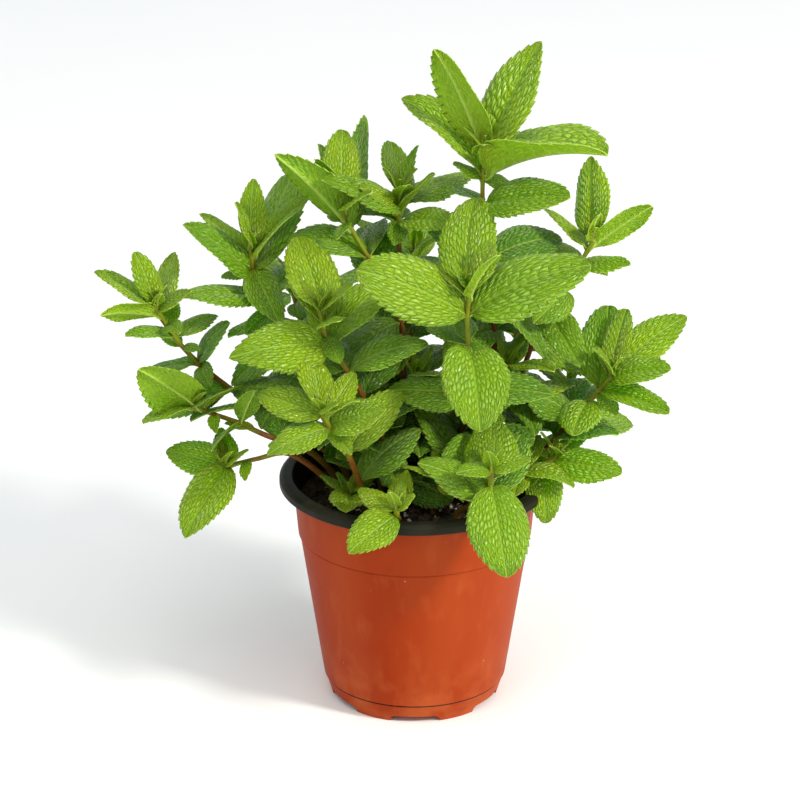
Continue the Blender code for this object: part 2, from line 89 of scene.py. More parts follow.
@dataclass(frozen=True)
class Leaf:
    """One leaf: turn, rise, roll, arch and fold in degrees, length, and width as a part of the length."""

    turn: float
    rise: float
    length: float
    roll: float = 0.0
    sag: float = 30.0
    width: float = 0.5
    fold: float = 24.0

    def frame(self) -> tuple[np.ndarray, np.ndarray, np.ndarray]:
        """Works out which way the leaf grows and faces.

        Returns:
            Unit vectors along the leaf, to its left and out of its upper side.
        """
        turn, rise, roll = (math.radians(angle) for angle in (self.turn, self.rise, self.roll))
        out = Vector((math.cos(turn) * math.cos(rise), math.sin(turn) * math.cos(rise), math.sin(rise)))
        face = (Vector((0, 0, 1)) - out * out.z).normalized()
        face = face * math.cos(roll) + out.cross(face) * math.sin(roll)
        return np.array(out), np.array(face.cross(out)), np.array(face)

    def arc(self, share: np.ndarray) -> tuple[np.ndarray, np.ndarray, np.ndarray]:
        """Follows the arch of the midrib.

        Args:
            share: Shares of the leaf's length.

        Returns:
            How far each leans in radians, and how far it is along and above the line from base to tip.
        """
        arch = math.radians(self.sag)
        lean = arch * (0.5 - share)
        bend = self.length / (2 * math.sin(arch / 2))
        return lean, bend * (math.sin(arch / 2) - np.sin(lean)), bend * (np.cos(lean) - math.cos(arch / 2))

    def marks(self, place: np.ndarray) -> np.ndarray:
        """Finds points spread over the leaf, which show whether it stays clear of others.

        Args:
            place: Where it grows.

        Returns:
            The points.
        """
        out, side, face = self.frame()
        share, across = (grid.ravel() for grid in np.meshgrid(MARKS_ALONG, MARKS_ACROSS))
        forward, rise = self.arc(share)[1:]
        half = self.length * self.width / 2 * across * np.sin(np.pi * np.clip(share, 0.0, 0.95))
        return place + forward[:, None] * out + rise[:, None] * face + half[:, None] * side


@dataclass(frozen=True)
class Pair:
    """Leaves that grow from one joint of the stem, this far back from the shoot's apex."""

    back: float
    leaves: tuple[Leaf, ...]


@dataclass(frozen=True)
class Shoot:
    """The stem's route from the soil to the apex, the tip rosette and the leaf pairs under it."""

    name: str
    route: tuple[tuple[float, ...], ...]
    crown: tuple[Pair, ...]
    pairs: tuple[Pair, ...] = ()

    @cached_property
    def line(self) -> Line:
        """The smooth line through its route."""
        return Line(self.route)

    @property
    def joints(self) -> list[float]:
        """How far back from the apex its planned leaves grow."""
        return [pair.back for pair in (*self.crown, *self.pairs)]


# A route starts with the place on the soil, and its other points are (x, y, z).
SHOOTS = (
    Shoot(
        "tall", ((14, 12), (34, 13, 150), (31, 11, 200), (29, 10, 230), (30, 10, 250)),
        (Pair(12, (Leaf(150, 36, 50, -10, 30, 0.46, 40), Leaf(-25, 17, 60, -5, 40, 0.6, 50))),
         Pair(4, (Leaf(-168, 66, 55, 40, 35, 0.42), Leaf(30, 60, 56, 20, 35, 0.44)))),
        (Pair(25, (Leaf(-35, 15, 46, 30), Leaf(125, 5, 22, 10))),),
    ),
    Shoot(
        "top_middle", ((-2, 18), (-2, 22, 155), (-6, 24, 186), (-7, 25, 211), (-7, 25, 226)),
        (Pair(7, (Leaf(40, 10, 42), Leaf(-140, 32, 26, -40))),
         Pair(10, (Leaf(-146, 30, 46, -30, 25, 0.4, 35), Leaf(-30, 50, 28, 10, 20, 0.4, 40))),
         Pair(3, (Leaf(98, 31, 34, 30, 15), Leaf(58, 52, 26, -20, 20, 0.36, 40)))),
        (Pair(14, (Leaf(148, 8, 44, -10), Leaf(-42, 10, 34, 20))),),
    ),
    Shoot(
        "top_left",
        ((-8, 10), (-5, 15, 158), (-12, 15, 185), (-23, 15, 204), (-30, 15, 217), (-32, 15, 227)),
        (Pair(16, (Leaf(-160, 48, 52, 45, 15, 0.44, 40), Leaf(82, 47, 56, 70, 10, 0.33))),
         Pair(7, (Leaf(120, 48, 34, 20), Leaf(-55, 35, 26, 20))),
         Pair(2, (Leaf(90, 50, 34, 20, 15), Leaf(-160, 60, 24, 30)))),
    ),
    Shoot(
        "upper_left",
        ((-18, 14), (-35, 16, 132), (-54, 18, 158), (-64, 20, 173), (-70, 20, 186), (-72, 20, 202)),
        (Pair(14, (Leaf(-156, 42, 44, -40, 30, 0.42), Leaf(60, 48, 54, -10, 20))),
         Pair(9, (Leaf(-62, -34, 32, 0, 20, 0.55),)),
         Pair(5, (Leaf(140, 25, 34, 10, 25, 0.42, 40), Leaf(10, 46, 38, 10, 20, 0.36, 40))),
         Pair(1, (Leaf(88, 50, 34, 20, 15, 0.38, 40), Leaf(-120, 65, 28, -60, 20, 0.42)))),
        (Pair(25, (Leaf(-149, 12, 42, -10), Leaf(50, 15, 44))),),
    ),
    Shoot(
        "middle_left",
        ((-5, -12), (-14, -15, 126), (-22, -18, 146), (-31, -20, 163), (-38, -20, 175), (-41, -19, 188)),
        (Pair(8, (Leaf(110, 40, 46, 0, 20), Leaf(-70, 25, 24, 20))),
         Pair(2, (Leaf(165, 45, 22), Leaf(-10, 45, 20, 10)))),
        (Pair(17, (Leaf(-153, 3, 48, -50), Leaf(42, 30, 42, 10))),),
    ),
    Shoot(
        "front_left", ((-22, -25), (-24, -31, 112), (-30, -40, 132), (-36, -45, 143), (-40, -45, 151)),
        (Pair(8, (Leaf(-156, -15, 30, -20, 30, 0.58), Leaf(-20, 25, 28, 40, 30, 0.6))),
         Pair(3, (Leaf(155, 10, 32, -30, 30, 0.56), Leaf(55, 32, 26, 20))),
         Pair(0, (Leaf(105, 44, 33, 20, 15), Leaf(-60, 30, 16, 30)))),
    ),
    Shoot(
        "far_left",
        ((-30, 8), (-46, 12, 115), (-75, 13, 134), (-94, 10, 151), (-106, 6, 167), (-113, 5, 180)),
        (Pair(5, (Leaf(-149, 12, 30, 50), Leaf(80, 38, 34, -30, 20))),
         Pair(2, (Leaf(164, 28, 33, 0, 20), Leaf(-20, 35, 20, 30))),
         Pair(0, (Leaf(150, 66, 26, -20, 15), Leaf(-40, 60, 14, 20)))),
        (Pair(17, (Leaf(-153, 12, 24, -10), Leaf(40, 12, 24, 10))),
         Pair(34, (Leaf(165, -15, 26, -10), Leaf(-20, 55, 26, 40)))),
    ),
    Shoot(
        "side_left", ((-35, 2), (-46, 0, 114), (-65, -3, 123), (-80, -5, 131), (-97, -5, 137)),
        (Pair(4, (Leaf(-148, 40, 40, 60, 15, 0.6), Leaf(30, 20, 22, -30))),
         Pair(0, (Leaf(-155, -8, 24), Leaf(-40, 35, 14, 20)))),
        (Pair(22, (Leaf(-125, -15, 22, 40), Leaf(-50, 60, 22, -30))),),
    ),
    Shoot(
        "low_left", ((-36, -10), (-40, -12, 107), (-55, -14, 119), (-69, -15, 117), (-84, -15, 113)),
        (Pair(4, (Leaf(-127, -36, 40, -10, 20, 0.55), Leaf(110, 35, 20))),
         Pair(1, (Leaf(162, 8, 28, -40, 20, 0.6), Leaf(-30, 40, 16, 20)))),
    ),
    Shoot(
        "front_middle", ((10, -12), (27, -19, 128), (24, -26, 163), (22, -30, 185), (23, -30, 200)),
        (Pair(11, (Leaf(-161, 28, 56, -60), Leaf(-8, 26, 58, 40))),
         Pair(4, (Leaf(85, 42, 50, -10, 20), Leaf(-45, 55, 30, 10))),
         Pair(1, (Leaf(30, 60, 24, 20), Leaf(-160, 60, 20, -20)))),
        (Pair(26, (Leaf(-84, -30, 46, 0, 30, 0.62), Leaf(110, 0, 40, -10))),
         Pair(50, (Leaf(178, 2, 38, -35), Leaf(-8, 2, 34, 35)))),
    ),
    Shoot(
        "upper_right",
        ((25, 15), (43, 18, 132), (53, 18, 162), (59, 19, 174), (69, 20, 189), (78, 20, 206)),
        (Pair(5, (Leaf(-16, 39, 36, -50, 20, 0.44), Leaf(165, 40, 26))),
         Pair(1, (Leaf(90, 52, 40, -30, 15, 0.44), Leaf(-80, 55, 20, 40)))),
        (Pair(14, (Leaf(130, 10, 34), Leaf(-30, 12, 26, 20))),),
    ),
    Shoot(
        "right", ((30, 0), (43, 0, 106), (56, 0, 114), (68, 0, 128), (79, 0, 141), (86, 0, 150)),
        (Pair(9, (Leaf(-35, -4, 36, 25, 30, 0.36, 45), Leaf(80, 44, 42, 0, 20, 0.58))),
         Pair(3, (Leaf(65, 52, 34, 10, 20, 0.36, 40), Leaf(-28, 20, 32, 30))),
         Pair(0, (Leaf(25, 31, 43, 30, 20, 0.44), Leaf(-130, 50, 22, -40)))),
        (Pair(15, (Leaf(-110, -15, 26, 0, 30, 0.72), Leaf(60, 0, 26))),),
    ),
    Shoot(
        "front_right", ((18, -34), (25, -40, 106), (31, -49, 112), (32, -56, 122), (32, -58, 130)),
        (Pair(7, (Leaf(-79, -42, 44, 0, 20, 0.6), Leaf(88, 26, 38, 0, 20, 0.6))),
         Pair(1, (Leaf(-147, 10, 18, -30), Leaf(-10, 20, 18, 40)))),
    ),
    Shoot(
        "low_right", ((34, -7), (43, -9, 106), (54, -11, 112), (62, -12, 117)),
        (Pair(3, (Leaf(-27, 0, 34, 40), Leaf(140, 5, 18))),
         Pair(0, (Leaf(30, 20, 18), Leaf(-110, 40, 14, -20)))),
        (Pair(8, (Leaf(-85, -50, 27, 0, 80, 0.62), Leaf(110, 10, 20))),),
    ),
    Shoot(
        "low_middle", ((-8, -35), (-7, -44, 101), (-8, -54, 107), (-8, -57, 111)),
        (Pair(4, (Leaf(-138, -20, 29, -30, 20, 0.62), Leaf(75, 38, 22))),
         Pair(1, (Leaf(150, 18, 20, -30), Leaf(-23, 46, 12, 40)))),
    ),
    Shoot(
        "rear_middle", ((-4, 34), (-4, 50, 125), (-2, 62, 150), (0, 68, 172), (0, 70, 186)),
        (Pair(10, (Leaf(100, 10, 46), Leaf(-60, 45, 34, 20))),
         Pair(3, (Leaf(10, 30, 34), Leaf(-170, 30, 34)))),
        (Pair(26, (Leaf(10, 5, 44), Leaf(-170, 5, 44))),),
    ),
    Shoot(
        "rear_left", ((-26, 26), (-38, 44, 120), (-48, 58, 142), (-54, 66, 160), (-56, 70, 172)),
        (Pair(9, (Leaf(130, 10, 44), Leaf(-50, 45, 30, 10))),
         Pair(3, (Leaf(50, 30, 32), Leaf(-150, 30, 32)))),
        (Pair(24, (Leaf(50, 5, 40), Leaf(-145, 5, 40))),),
    ),
    Shoot(
        "rear_right", ((22, 30), (34, 48, 118), (44, 60, 138), (50, 68, 154), (53, 72, 166)),
        (Pair(9, (Leaf(60, 10, 44), Leaf(-130, 45, 30, 10))),
         Pair(3, (Leaf(130, 30, 32), Leaf(-30, 30, 32)))),
        (Pair(24, (Leaf(140, 5, 40), Leaf(-40, 5, 40))),),
    ),
)

# Sprigs that have only just come up between the shoots: one solid each, stem and all.
SPRIGS = (
    Shoot(
        "low_left", ((-26, -14), (-27, -18, 98), (-28, -22, 103)),
        (Pair(2, (Leaf(-95, 8, 25, 0, 40, 0.72), Leaf(64, 8, 20))),
         Pair(0, (Leaf(170, 30, 16), Leaf(-10, 40, 14)))),
    ),
    Shoot(
        "low_middle", ((8, -22), (10, -25, 102), (11, -28, 114)),
        (Pair(3, (Leaf(-60, -5, 20), Leaf(110, 16, 24))), Pair(0, (Leaf(-165, 20, 18), Leaf(20, 30, 20)))),
    ),
    Shoot(
        "low_right", ((34, -16), (40, -17, 103), (46, -19, 112)),
        (Pair(3, (Leaf(-25, 0, 27, 0, 70, 0.62), Leaf(140, 8, 24))),
         Pair(0, (Leaf(-100, -8, 20), Leaf(64, 30, 22)))),
    ),
    Shoot(
        "inner_left", ((-15, 0), (-18, 4, 118), (-24, 4, 138), (-27, 4, 150)),
        (Pair(32, (Leaf(175, 5, 30), Leaf(-60, 5, 20))),
         Pair(15, (Leaf(-110, 15, 26), Leaf(95, 10, 22))), Pair(3, (Leaf(165, 15, 32), Leaf(30, 35, 18)))),
    ),
    Shoot(
        "inner_middle", ((2, 0), (2, 2, 118), (1, 2, 138), (0, 2, 150)),
        (Pair(30, (Leaf(-90, 5, 28), Leaf(80, 5, 20))), Pair(14, (Leaf(-175, 5, 20), Leaf(-5, 5, 30))),
         Pair(3, (Leaf(-70, 25, 26), Leaf(60, 30, 16)))),
    ),
    Shoot(
        "inner_right", ((24, 0), (30, 2, 120), (38, 2, 142), (42, 2, 155)),
        (Pair(34, (Leaf(-60, 0, 30), Leaf(75, 0, 16))), Pair(16, (Leaf(10, 5, 34), Leaf(-170, 10, 26))),
         Pair(3, (Leaf(-50, 15, 30), Leaf(165, 20, 20)))),
    ),
    Shoot(
        "rear_low", ((14, 38), (18, 54, 112), (22, 64, 124), (24, 68, 132)),
        (Pair(14, (Leaf(60, 0, 34), Leaf(-130, 10, 26))), Pair(3, (Leaf(130, 0, 32), Leaf(-80, 20, 22)))),
    ),
    Shoot(
        "rear_low_right", ((36, 18), (54, 30, 116), (64, 36, 124), (70, 38, 130)),
        (Pair(12, (Leaf(80, 5, 28), Leaf(-80, 5, 26))), Pair(2, (Leaf(20, 5, 34), Leaf(150, 30, 22)))),
    ),
)


class Line:
    """The smooth line that a shoot grows along, in millimetres."""

    SOIL = 93.0
    ROOT_DEPTH = 6.0
    UPRIGHT = 10.0
    STEPS = 12

    def __init__(self, route: Sequence[Sequence[float]]) -> None:
        """Fits the line.

        Args:
            route: The place on the soil, and then the points that the stem passes through.
        """
        foot = Vector((*route[0], self.SOIL - self.ROOT_DEPTH))
        knots = [foot + Vector((0, 0, self.UPRIGHT))] + [Vector(point) for point in route[1:]]
        upright = Vector((0, 0, (knots[1] - knots[0]).length))
        knots = [knots[1] - 2 * upright, *knots, 2 * knots[-1] - knots[-2]]
        line = [foot]
        for before, start, end, after in zip(knots, knots[1:], knots[2:], knots[3:]):
            for step in range(self.STEPS):
                t = step / self.STEPS
                line.append(
                    start
                    + (end - before) * (t / 2)
                    + (2 * before - 5 * start + 4 * end - after) * (t * t / 2)
                    + (3 * start - before - 3 * end + after) * (t**3 / 2)
                )
        self.points = np.array([*line, knots[-2]])
        spans = np.linalg.norm(np.diff(self.points, axis=0), axis=1)
        self.reach = np.concatenate(([0.0], np.cumsum(spans)))
        self.length = float(self.reach[-1])
        self.growth = (self.points[-1] - self.points[-2]) / spans[-1]

    def place(self, back: float | np.ndarray) -> np.ndarray:
        """Finds the points this far back from the apex.

        Args:
            back: One distance, or several. Below zero it is beyond the apex.

        Returns:
            The point or points.
        """
        at = self.length - np.asarray(back, float)
        beyond = np.maximum(at - self.length, 0.0)
        inside = np.stack([np.interp(at, self.reach, self.points[:, axis]) for axis in range(3)], axis=-1)
        return inside + beyond[..., None] * self.growth


# Finishes


def colour(*parts: int) -> Colour:
    """Turns a display colour's red, green and blue, from 0 to 255, into a linear, opaque colour."""
    shares = [part / 255 for part in parts]
    return (*(s / 12.92 if s <= 0.04045 else ((s + 0.055) / 1.055) ** 2.4 for s in shares), 1.0)


@dataclass
class Recipe:
    """A procedural material, put together node by node on a constant roughness and specular level."""

    name: str
    roughness: float
    specular: float

    def __post_init__(self) -> None:
        """Starts the material."""
        self.material = bpy.data.materials.new(self.name)
        self.material.use_nodes = True
        self.tree = self.material.node_tree
        self.shader = self.tree.nodes["Principled BSDF"]
        self.shader.inputs["Roughness"].default_value = self.roughness
        self.shader.inputs["Specular IOR Level"].default_value = self.specular

    def node(self, kind: str, inputs: dict[str | int, Any] | None = None, **settings: Any) -> Any:
        """Adds a node.

        Args:
            kind: The node's type, without its ShaderNode prefix.
            inputs: Values or sockets for its inputs. None leaves an input as it is.
            **settings: The node's own properties.

        Returns:
            Its outputs.
        """
        made = self.tree.nodes.new("ShaderNode" + kind)
        for name, value in settings.items():
            setattr(made, name, value)
        for name, value in (inputs or {}).items():
            if isinstance(value, bpy.types.NodeSocket):
                self.tree.links.new(value, made.inputs[name])
            elif value is not None:
                made.inputs[name].default_value = value
        return made.outputs

    def attribute(self, name: str) -> Any:
        """Reads a number that is stored on the mesh."""
        return self.node("Attribute", attribute_name=name)["Fac"]

    def place(self) -> Any:
        """Reads the object's own coordinates."""
        return self.node("TexCoord")["Object"]

    def noise(self, scale: float, detail: float = 3.0, vector: Any = None) -> Any:
        """Adds noise, by its features to the metre, its finer layers and its coordinates."""
        inputs = {"Vector": vector or self.place(), "Scale": scale, "Detail": detail}
        return self.node("TexNoise", inputs)["Fac"]

    def maths(self, operation: str, first: Any, second: Any = 0.0, clamp: bool = False) -> Any:
        """Adds a sum on two values or sockets, which may be held from 0 to 1."""
        return self.node("Math", {0: first, 1: second}, operation=operation, use_clamp=clamp)[0]

    def times(self, first: Any, second: Any) -> Any:
        """Multiplies two values or sockets."""
        return self.maths("MULTIPLY", first, second)

    def power(self, base: Any, exponent: float) -> Any:
        """Raises a socket to a power."""
        return self.maths("POWER", base, exponent)

    def span(self, value: Any, low: float, high: float, to_low: float = 0.0, to_high: float = 1.0) -> Any:
        """Maps the range of a value from low to high to another range, and holds it at the ends."""
        inputs = {"Value": value, "From Min": low, "From Max": high, "To Min": to_low, "To Max": to_high}
        return self.node("MapRange", inputs)["Result"]

    def dome(self, count: Any) -> Any:
        """Turns a count of cells into round domes with sharp valleys between them, from 0 to 1."""
        away = self.maths("ABSOLUTE", self.span(self.maths("FRACT", count), 0.0, 1.0, -1.0, 1.0))
        return self.power(self.maths("SUBTRACT", 1.0, self.power(away, DOME_EDGE)), DOME_ROUND)

    def mix(self, share: Any, first: Any, second: Any) -> Any:
        """Mixes two colours, by the share of the second one."""
        return self.node("Mix", {0: share, 6: first, 7: second}, data_type="RGBA")[2]

    def bump(self, height: Any, strength: float, distance: float, under: Any = None) -> Any:
        """Adds relief, this deep in metres, on a coarser relief where there is one."""
        inputs = {"Height": height, "Strength": strength, "Distance": distance, "Normal": under}
        return self.node("Bump", inputs)["Normal"]

    def wire(self, colour_from: Any, normal: Any = None, roughness: Any = None) -> bpy.types.Material:
        """Joins what drives the surface to the shader.

        Args:
            colour_from: The socket of its colour.
            normal: The socket of its normal.
            roughness: The socket of its roughness, where that isn't constant.

        Returns:
            The finished material.
        """
        for name, socket in (("Base Color", colour_from), ("Normal", normal), ("Roughness", roughness)):
            if socket is not None:
                self.tree.links.new(socket, self.shader.inputs[name])
        return self.material


@dataclass(frozen=True)
class LeafSkin:
    """The finish of one side of the leaves: its greens, roughness and depth of veins in metres. On the upper
    side the dome colour is a painted highlight and the valley colour a painted shade in the creases; on the
    underside they are a slightly darker tint and the pale colour of the veins.
    """

    name: str
    young: Colour
    grown: Colour
    old: Colour
    valley_shade_and_vein: Colour
    dome: Colour
    rib: Colour
    roughness: float
    net_depth: float
    glow: float = 0.6
    glow_colour: tuple[float, float, float] = (0.6, 1.0, 0.15)
    glow_reach: float = 0.0012
    kinds: float = 97.0

    def material(self) -> bpy.types.Material:
        """Makes the material from the numbers that each leaf's mesh holds.

        Returns:
            The material.
        """
        skin = Recipe(self.name, self.roughness, 0.5)
        skin.shader.inputs["Subsurface Weight"].default_value = self.glow
        skin.shader.inputs["Subsurface Radius"].default_value = self.glow_colour
        skin.shader.inputs["Subsurface Scale"].default_value = self.glow_reach
        tone, vein, row = (skin.attribute(name) for name in ("tone", "vein", "row"))
        own = skin.maths("FLOOR", skin.times(tone, self.kinds))
        spot = skin.node("CombineXYZ", {"X": skin.maths("ADD", row, own), "Y": skin.attribute("cell")})[0]
        net = {"Vector": spot, "Scale": 1.0, "Randomness": 0.75}
        edge = skin.node("TexVoronoi", net, voronoi_dimensions="2D", feature="DISTANCE_TO_EDGE")[0]
        cells = skin.node("TexVoronoi", net, voronoi_dimensions="2D")
        luck = skin.node("SeparateColor", {"Color": cells["Color"]})[0]
        pillow = skin.power(skin.span(edge, 0.0, 0.4), 0.6)
        strip = skin.span(skin.dome(row), 0.0, 0.6, 0.45, 1.0)
        relief = skin.times(skin.times(strip, pillow), skin.maths("SUBTRACT", 1.0, vein, clamp=True))
        early = skin.mix(skin.span(tone, 0.0, 0.5), self.young, self.grown)
        base = skin.mix(skin.span(tone, 0.5, 1.0), early, self.old)
        mottled = skin.mix(skin.span(skin.noise(260.0), 0.35, 0.7, 0.0, 0.22), base, self.young)
        shaded = skin.mix(skin.span(skin.noise(90.0), 0.35, 0.7, 0.0, 0.3), mottled, self.old)
        # Painted highlight on the upper side: the tops of the domes, more on some cells than on others, take
        # the dome colour.
        light = skin.times(skin.span(relief, 0.5, 1.0), skin.span(luck, 0.2, 0.8, 0.0, 0.34))
        dome_highlight_and_tint = skin.mix(light, shaded, self.dome)
        # Painted shade on the upper side: the low ground between the domes takes the valley colour; on the
        # underside it takes the real pale colour of the raised veins.
        shaded_valleys_and_veins = skin.mix(skin.span(relief, 0.1, 0.5, 0.5, 0.0), dome_highlight_and_tint, self.valley_shade_and_vein)
        ribbed = skin.mix(skin.span(vein, 0.25, 0.8, 0.0, 0.85), shaded_valleys_and_veins, self.rib)
        grain = skin.noise(2600.0)
        rough = skin.span(grain, 0.3, 0.7, self.roughness - 0.06, self.roughness + 0.1)
        normal = skin.bump(grain, 0.4, 0.00008, under=skin.bump(relief, 1.0, self.net_depth))
        return skin.wire(ribbed, normal, rough)


@dataclass(frozen=True)
class StemSkin:
    """The finish of the stems: purple-brown low down and green near the tips, with fine streaks."""

    foot: Colour = colour(98, 94, 12)
    middle: Colour = colour(112, 58, 10)
    tip: Colour = colour(122, 140, 20)
    streak: Colour = colour(142, 106, 30)

    def material(self) -> bpy.types.Material:
        """Makes the material from the height that each stem's mesh holds.

        Returns:
            The material.
        """
        skin = Recipe("stem_skin", 0.5, 0.25)
        height = skin.attribute("tone")
        patchy = skin.maths("ADD", height, skin.span(skin.noise(120.0), 0.3, 0.7, -0.22, 0.22))
        warm = skin.mix(skin.span(patchy, 0.1, 0.5), self.foot, self.middle)
        base = skin.mix(skin.span(patchy, 0.62, 0.95), warm, self.tip)
        streaks = skin.noise(700.0, 2.0)
        streaked = skin.mix(skin.span(streaks, 0.4, 0.7, 0.0, 0.35), base, self.streak)
        return skin.wire(streaked, skin.bump(streaks, 0.4, 0.0002))


@dataclass(frozen=True)
class PotSkin:
    """The moulded plastic of one of the pot's two layers: its colour, its scuffs and the dust on it."""

    name: str
    base: Colour
    worn: Colour
    dust: Colour
    roughness: float
    rubbed_to: float = 0.035

    def material(self) -> bpy.types.Material:
        """Makes the material, faded in clouds, scuffed all over and rubbed at the foot.

        Returns:
            The material.
        """
        skin = Recipe(self.name, self.roughness, 0.08)
        place = skin.place()
        stretched = skin.node("Mapping", {"Vector": place, "Scale": (1.0, 1.0, 0.35)})["Vector"]
        clouds = skin.span(skin.noise(22.0, 5.0, stretched), 0.35, 0.7)
        faded = skin.mix(skin.times(clouds, 0.4), self.base, self.worn)
        scuffs = skin.span(skin.noise(140.0, 4.0, stretched), 0.56, 0.72, 0.0, 0.3)
        height = skin.node("SeparateXYZ", {"Vector": place})["Z"]
        low = skin.span(height, 0.0, self.rubbed_to, 0.9, 0.0)
        rubbed = skin.mix(skin.times(low, skin.span(skin.noise(90.0, 5.0), 0.4, 0.65)), faded, self.worn)
        scuffed = skin.mix(scuffs, rubbed, self.worn)
        grains = skin.node("TexVoronoi", {"Vector": place, "Scale": 130.0})["Distance"]
        sparse = skin.span(skin.noise(60.0, 2.0), 0.56, 0.64)
        dusty = skin.mix(skin.times(skin.span(grains, 0.04, 0.08, 0.6, 0.0), sparse), scuffed, self.dust)
        rough = skin.span(clouds, 0.0, 1.0, self.roughness, self.roughness + 0.14)
        peel = skin.bump(skin.noise(900.0), 0.25, 0.0001)
        return skin.wire(dusty, skin.bump(skin.noise(40.0, 2.0, stretched), 0.15, 0.0015, under=peel), rough)


@dataclass(frozen=True)
class PeatSkin:
    """The finish of the moist peat: dark fibres with pale husks."""

    dark: Colour = colour(20, 16, 12)
    light: Colour = colour(74, 56, 40)
    husk: Colour = colour(150, 124, 88)

    def material(self) -> bpy.types.Material:
        """Makes the material.

        Returns:
            The material.
        """
        skin = Recipe("peat", 0.9, 0.25)
        fibres = skin.noise(900.0, 6.0)
        fibrous = skin.mix(skin.span(fibres, 0.38, 0.72), self.dark, self.light)
        husks = skin.times(skin.span(skin.noise(2400.0, 2.0), 0.66, 0.72), 0.8)
        return skin.wire(skin.mix(husks, fibrous, self.husk), skin.bump(fibres, 0.9, 0.0012))


@dataclass(frozen=True)
class GrainSkin:
    """The finish of loose grains: dark in the pores, where the bump sinks, which is a painted shade, and
    light on the faces.
    """

    name: str
    dark: Colour
    light: Colour

    def material(self) -> bpy.types.Material:
        """Makes the material.

        Returns:
            The material.
        """
        skin = Recipe(self.name, 0.85, 0.3)
        pores = skin.noise(1400.0, 4.0)
        # Painted shade: the dark colour follows the bump down into the pores.
        base = skin.mix(skin.span(pores, 0.35, 0.6), self.dark, self.light)
        return skin.wire(base, skin.bump(pores, 0.6, 0.0004))


@dataclass(frozen=True)
class FloorSkin:
    """The finish of the pale paper that the pot stands on."""

    dark: Colour = (0.93, 0.93, 0.93, 1.0)
    light: Colour = (0.95, 0.95, 0.95, 1.0)

    def material(self) -> bpy.types.Material:
        """Makes the material."""
        skin = Recipe("pale_floor", 0.9, 0.1)
        return skin.wire(skin.mix(skin.noise(6.0, 2.0), self.dark, self.light))


# Upper side: the dome colour is a painted highlight, and the valley colour a painted shade in the creases
# between the domes.
UPPER = LeafSkin(
    "leaf_upper_side", colour(146, 172, 0), colour(118, 158, 2), colour(84, 132, 32), colour(76, 118, 0),
    colour(172, 202, 110), colour(152, 182, 56), roughness=0.33, net_depth=0.0008,
)
# Underside: the valley colour is the real pale colour of the raised veins, and the dome colour a slightly
# darker tint, not a highlight.
UNDER = LeafSkin(
    "leaf_underside", colour(148, 178, 0), colour(130, 170, 0), colour(114, 158, 34), colour(166, 196, 64),
    colour(124, 164, 0), colour(178, 204, 88), roughness=0.55, net_depth=0.0005,
)
RUST = PotSkin("rust_plastic", colour(150, 46, 3), colour(180, 86, 42), colour(214, 160, 120), 0.42)
# The black layer's pale worn colour is partly scuffs and dust and partly a painted sheen on the lip.
BLACK = PotSkin("black_plastic", colour(18, 18, 12), colour(64, 62, 48), colour(120, 112, 100), 0.4)
CLOD = GrainSkin("peat_clod", colour(24, 19, 15), colour(80, 62, 46))
PERLITE = GrainSkin("perlite", colour(170, 164, 150), colour(238, 236, 228))


# Leaves and stems


def smooth(low: float, high: float, value: np.ndarray) -> np.ndarray:
    """Rises smoothly from 0 to 1 as a value goes from low to high."""
    share = np.clip((value - low) / (high - low), 0.0, 1.0)
    return share * share * (3 - 2 * share)


def dome(count: np.ndarray) -> np.ndarray:
    """Turns a count of cells into round domes with sharp valleys between them, from 0 to 1."""
    return (1 - np.abs(2 * (count % 1.0) - 1) ** DOME_EDGE) ** DOME_ROUND


def to_mesh(name: str, piece: bmesh.types.BMesh, *materials: bpy.types.Material) -> bpy.types.Mesh:
    """Turns a bmesh into a mesh, and frees it.

    Args:
        name: The mesh's name.
        piece: The bmesh.
        *materials: The mesh's materials.

    Returns:
        The mesh.
    """
    mesh = bpy.data.meshes.new(name)
    piece.to_mesh(mesh)
    piece.free()
    for material in materials:
        mesh.materials.append(material)
    return mesh


def stand(name: str, data: bpy.types.ID) -> bpy.types.Object:
    """Puts a mesh, a light or a camera into the scene.

    Args:
        name: Its name there.
        data: What it is.

    Returns:
        The object.
    """
    made = bpy.data.objects.new(name, data)
    bpy.context.scene.collection.objects.link(made)
    return made


class Part(Enum):
    """The kinds of piece: pot, soil, stem and leaf."""

    POT = "pot"
    SOIL = "soil"
    STEM = "stem"
    LEAF = "leaf"


def finish_piece(
    name: str, piece: bmesh.types.BMesh, part: Part, materials: Sequence[bpy.types.Material], *nodes: str
) -> bpy.types.Object:
    """Turns a finished bmesh into a piece that rides on the plant's body.

    Args:
        name: The piece's name.
        piece: Its mesh.
        part: Its kind of piece, which is not used.
        materials: Its materials.
        *nodes: The CAD nodes that it stands for.

    Returns:
        The piece.
    """
    made = stand(name, to_mesh(name, piece, *materials))
    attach(made, BODY)
    if nodes:
        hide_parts(*nodes)
    LOG.info("%s: %d faces", name, len(made.data.polygons))
    return made


@dataclass(frozen=True)
class Grid:
    """How finely a leaf is drawn: teeth on each edge, columns to a tooth, rows across, and its domes."""

    teeth: int
    columns: int
    rows: int
    domes_along: float
    domes_across: float
    stalk: int = 3

    @property
    def along(self) -> int:
        """How many columns the whole leaf has."""
        return self.stalk + self.teeth * self.columns


class Detail(Enum):
    """The choice of fineness, by the size of the leaf."""

    LARGE = Grid(13, 5, 34, 12.0, 8.0)
    MEDIUM = Grid(11, 4, 26, 10.5, 6.5)
    SMALL = Grid(9, 3, 18, 8.5, 4.8)
    TINY = Grid(5, 3, 10, 5.5, 2.2, 2)

    @classmethod
    def of(cls, length: float) -> Detail:
        """Picks the fineness for a leaf of this length."""
        steps = ((37, cls.LARGE), (26, cls.MEDIUM), (13, cls.SMALL))
        return next((detail for shortest, detail in steps if length > shortest), cls.TINY)


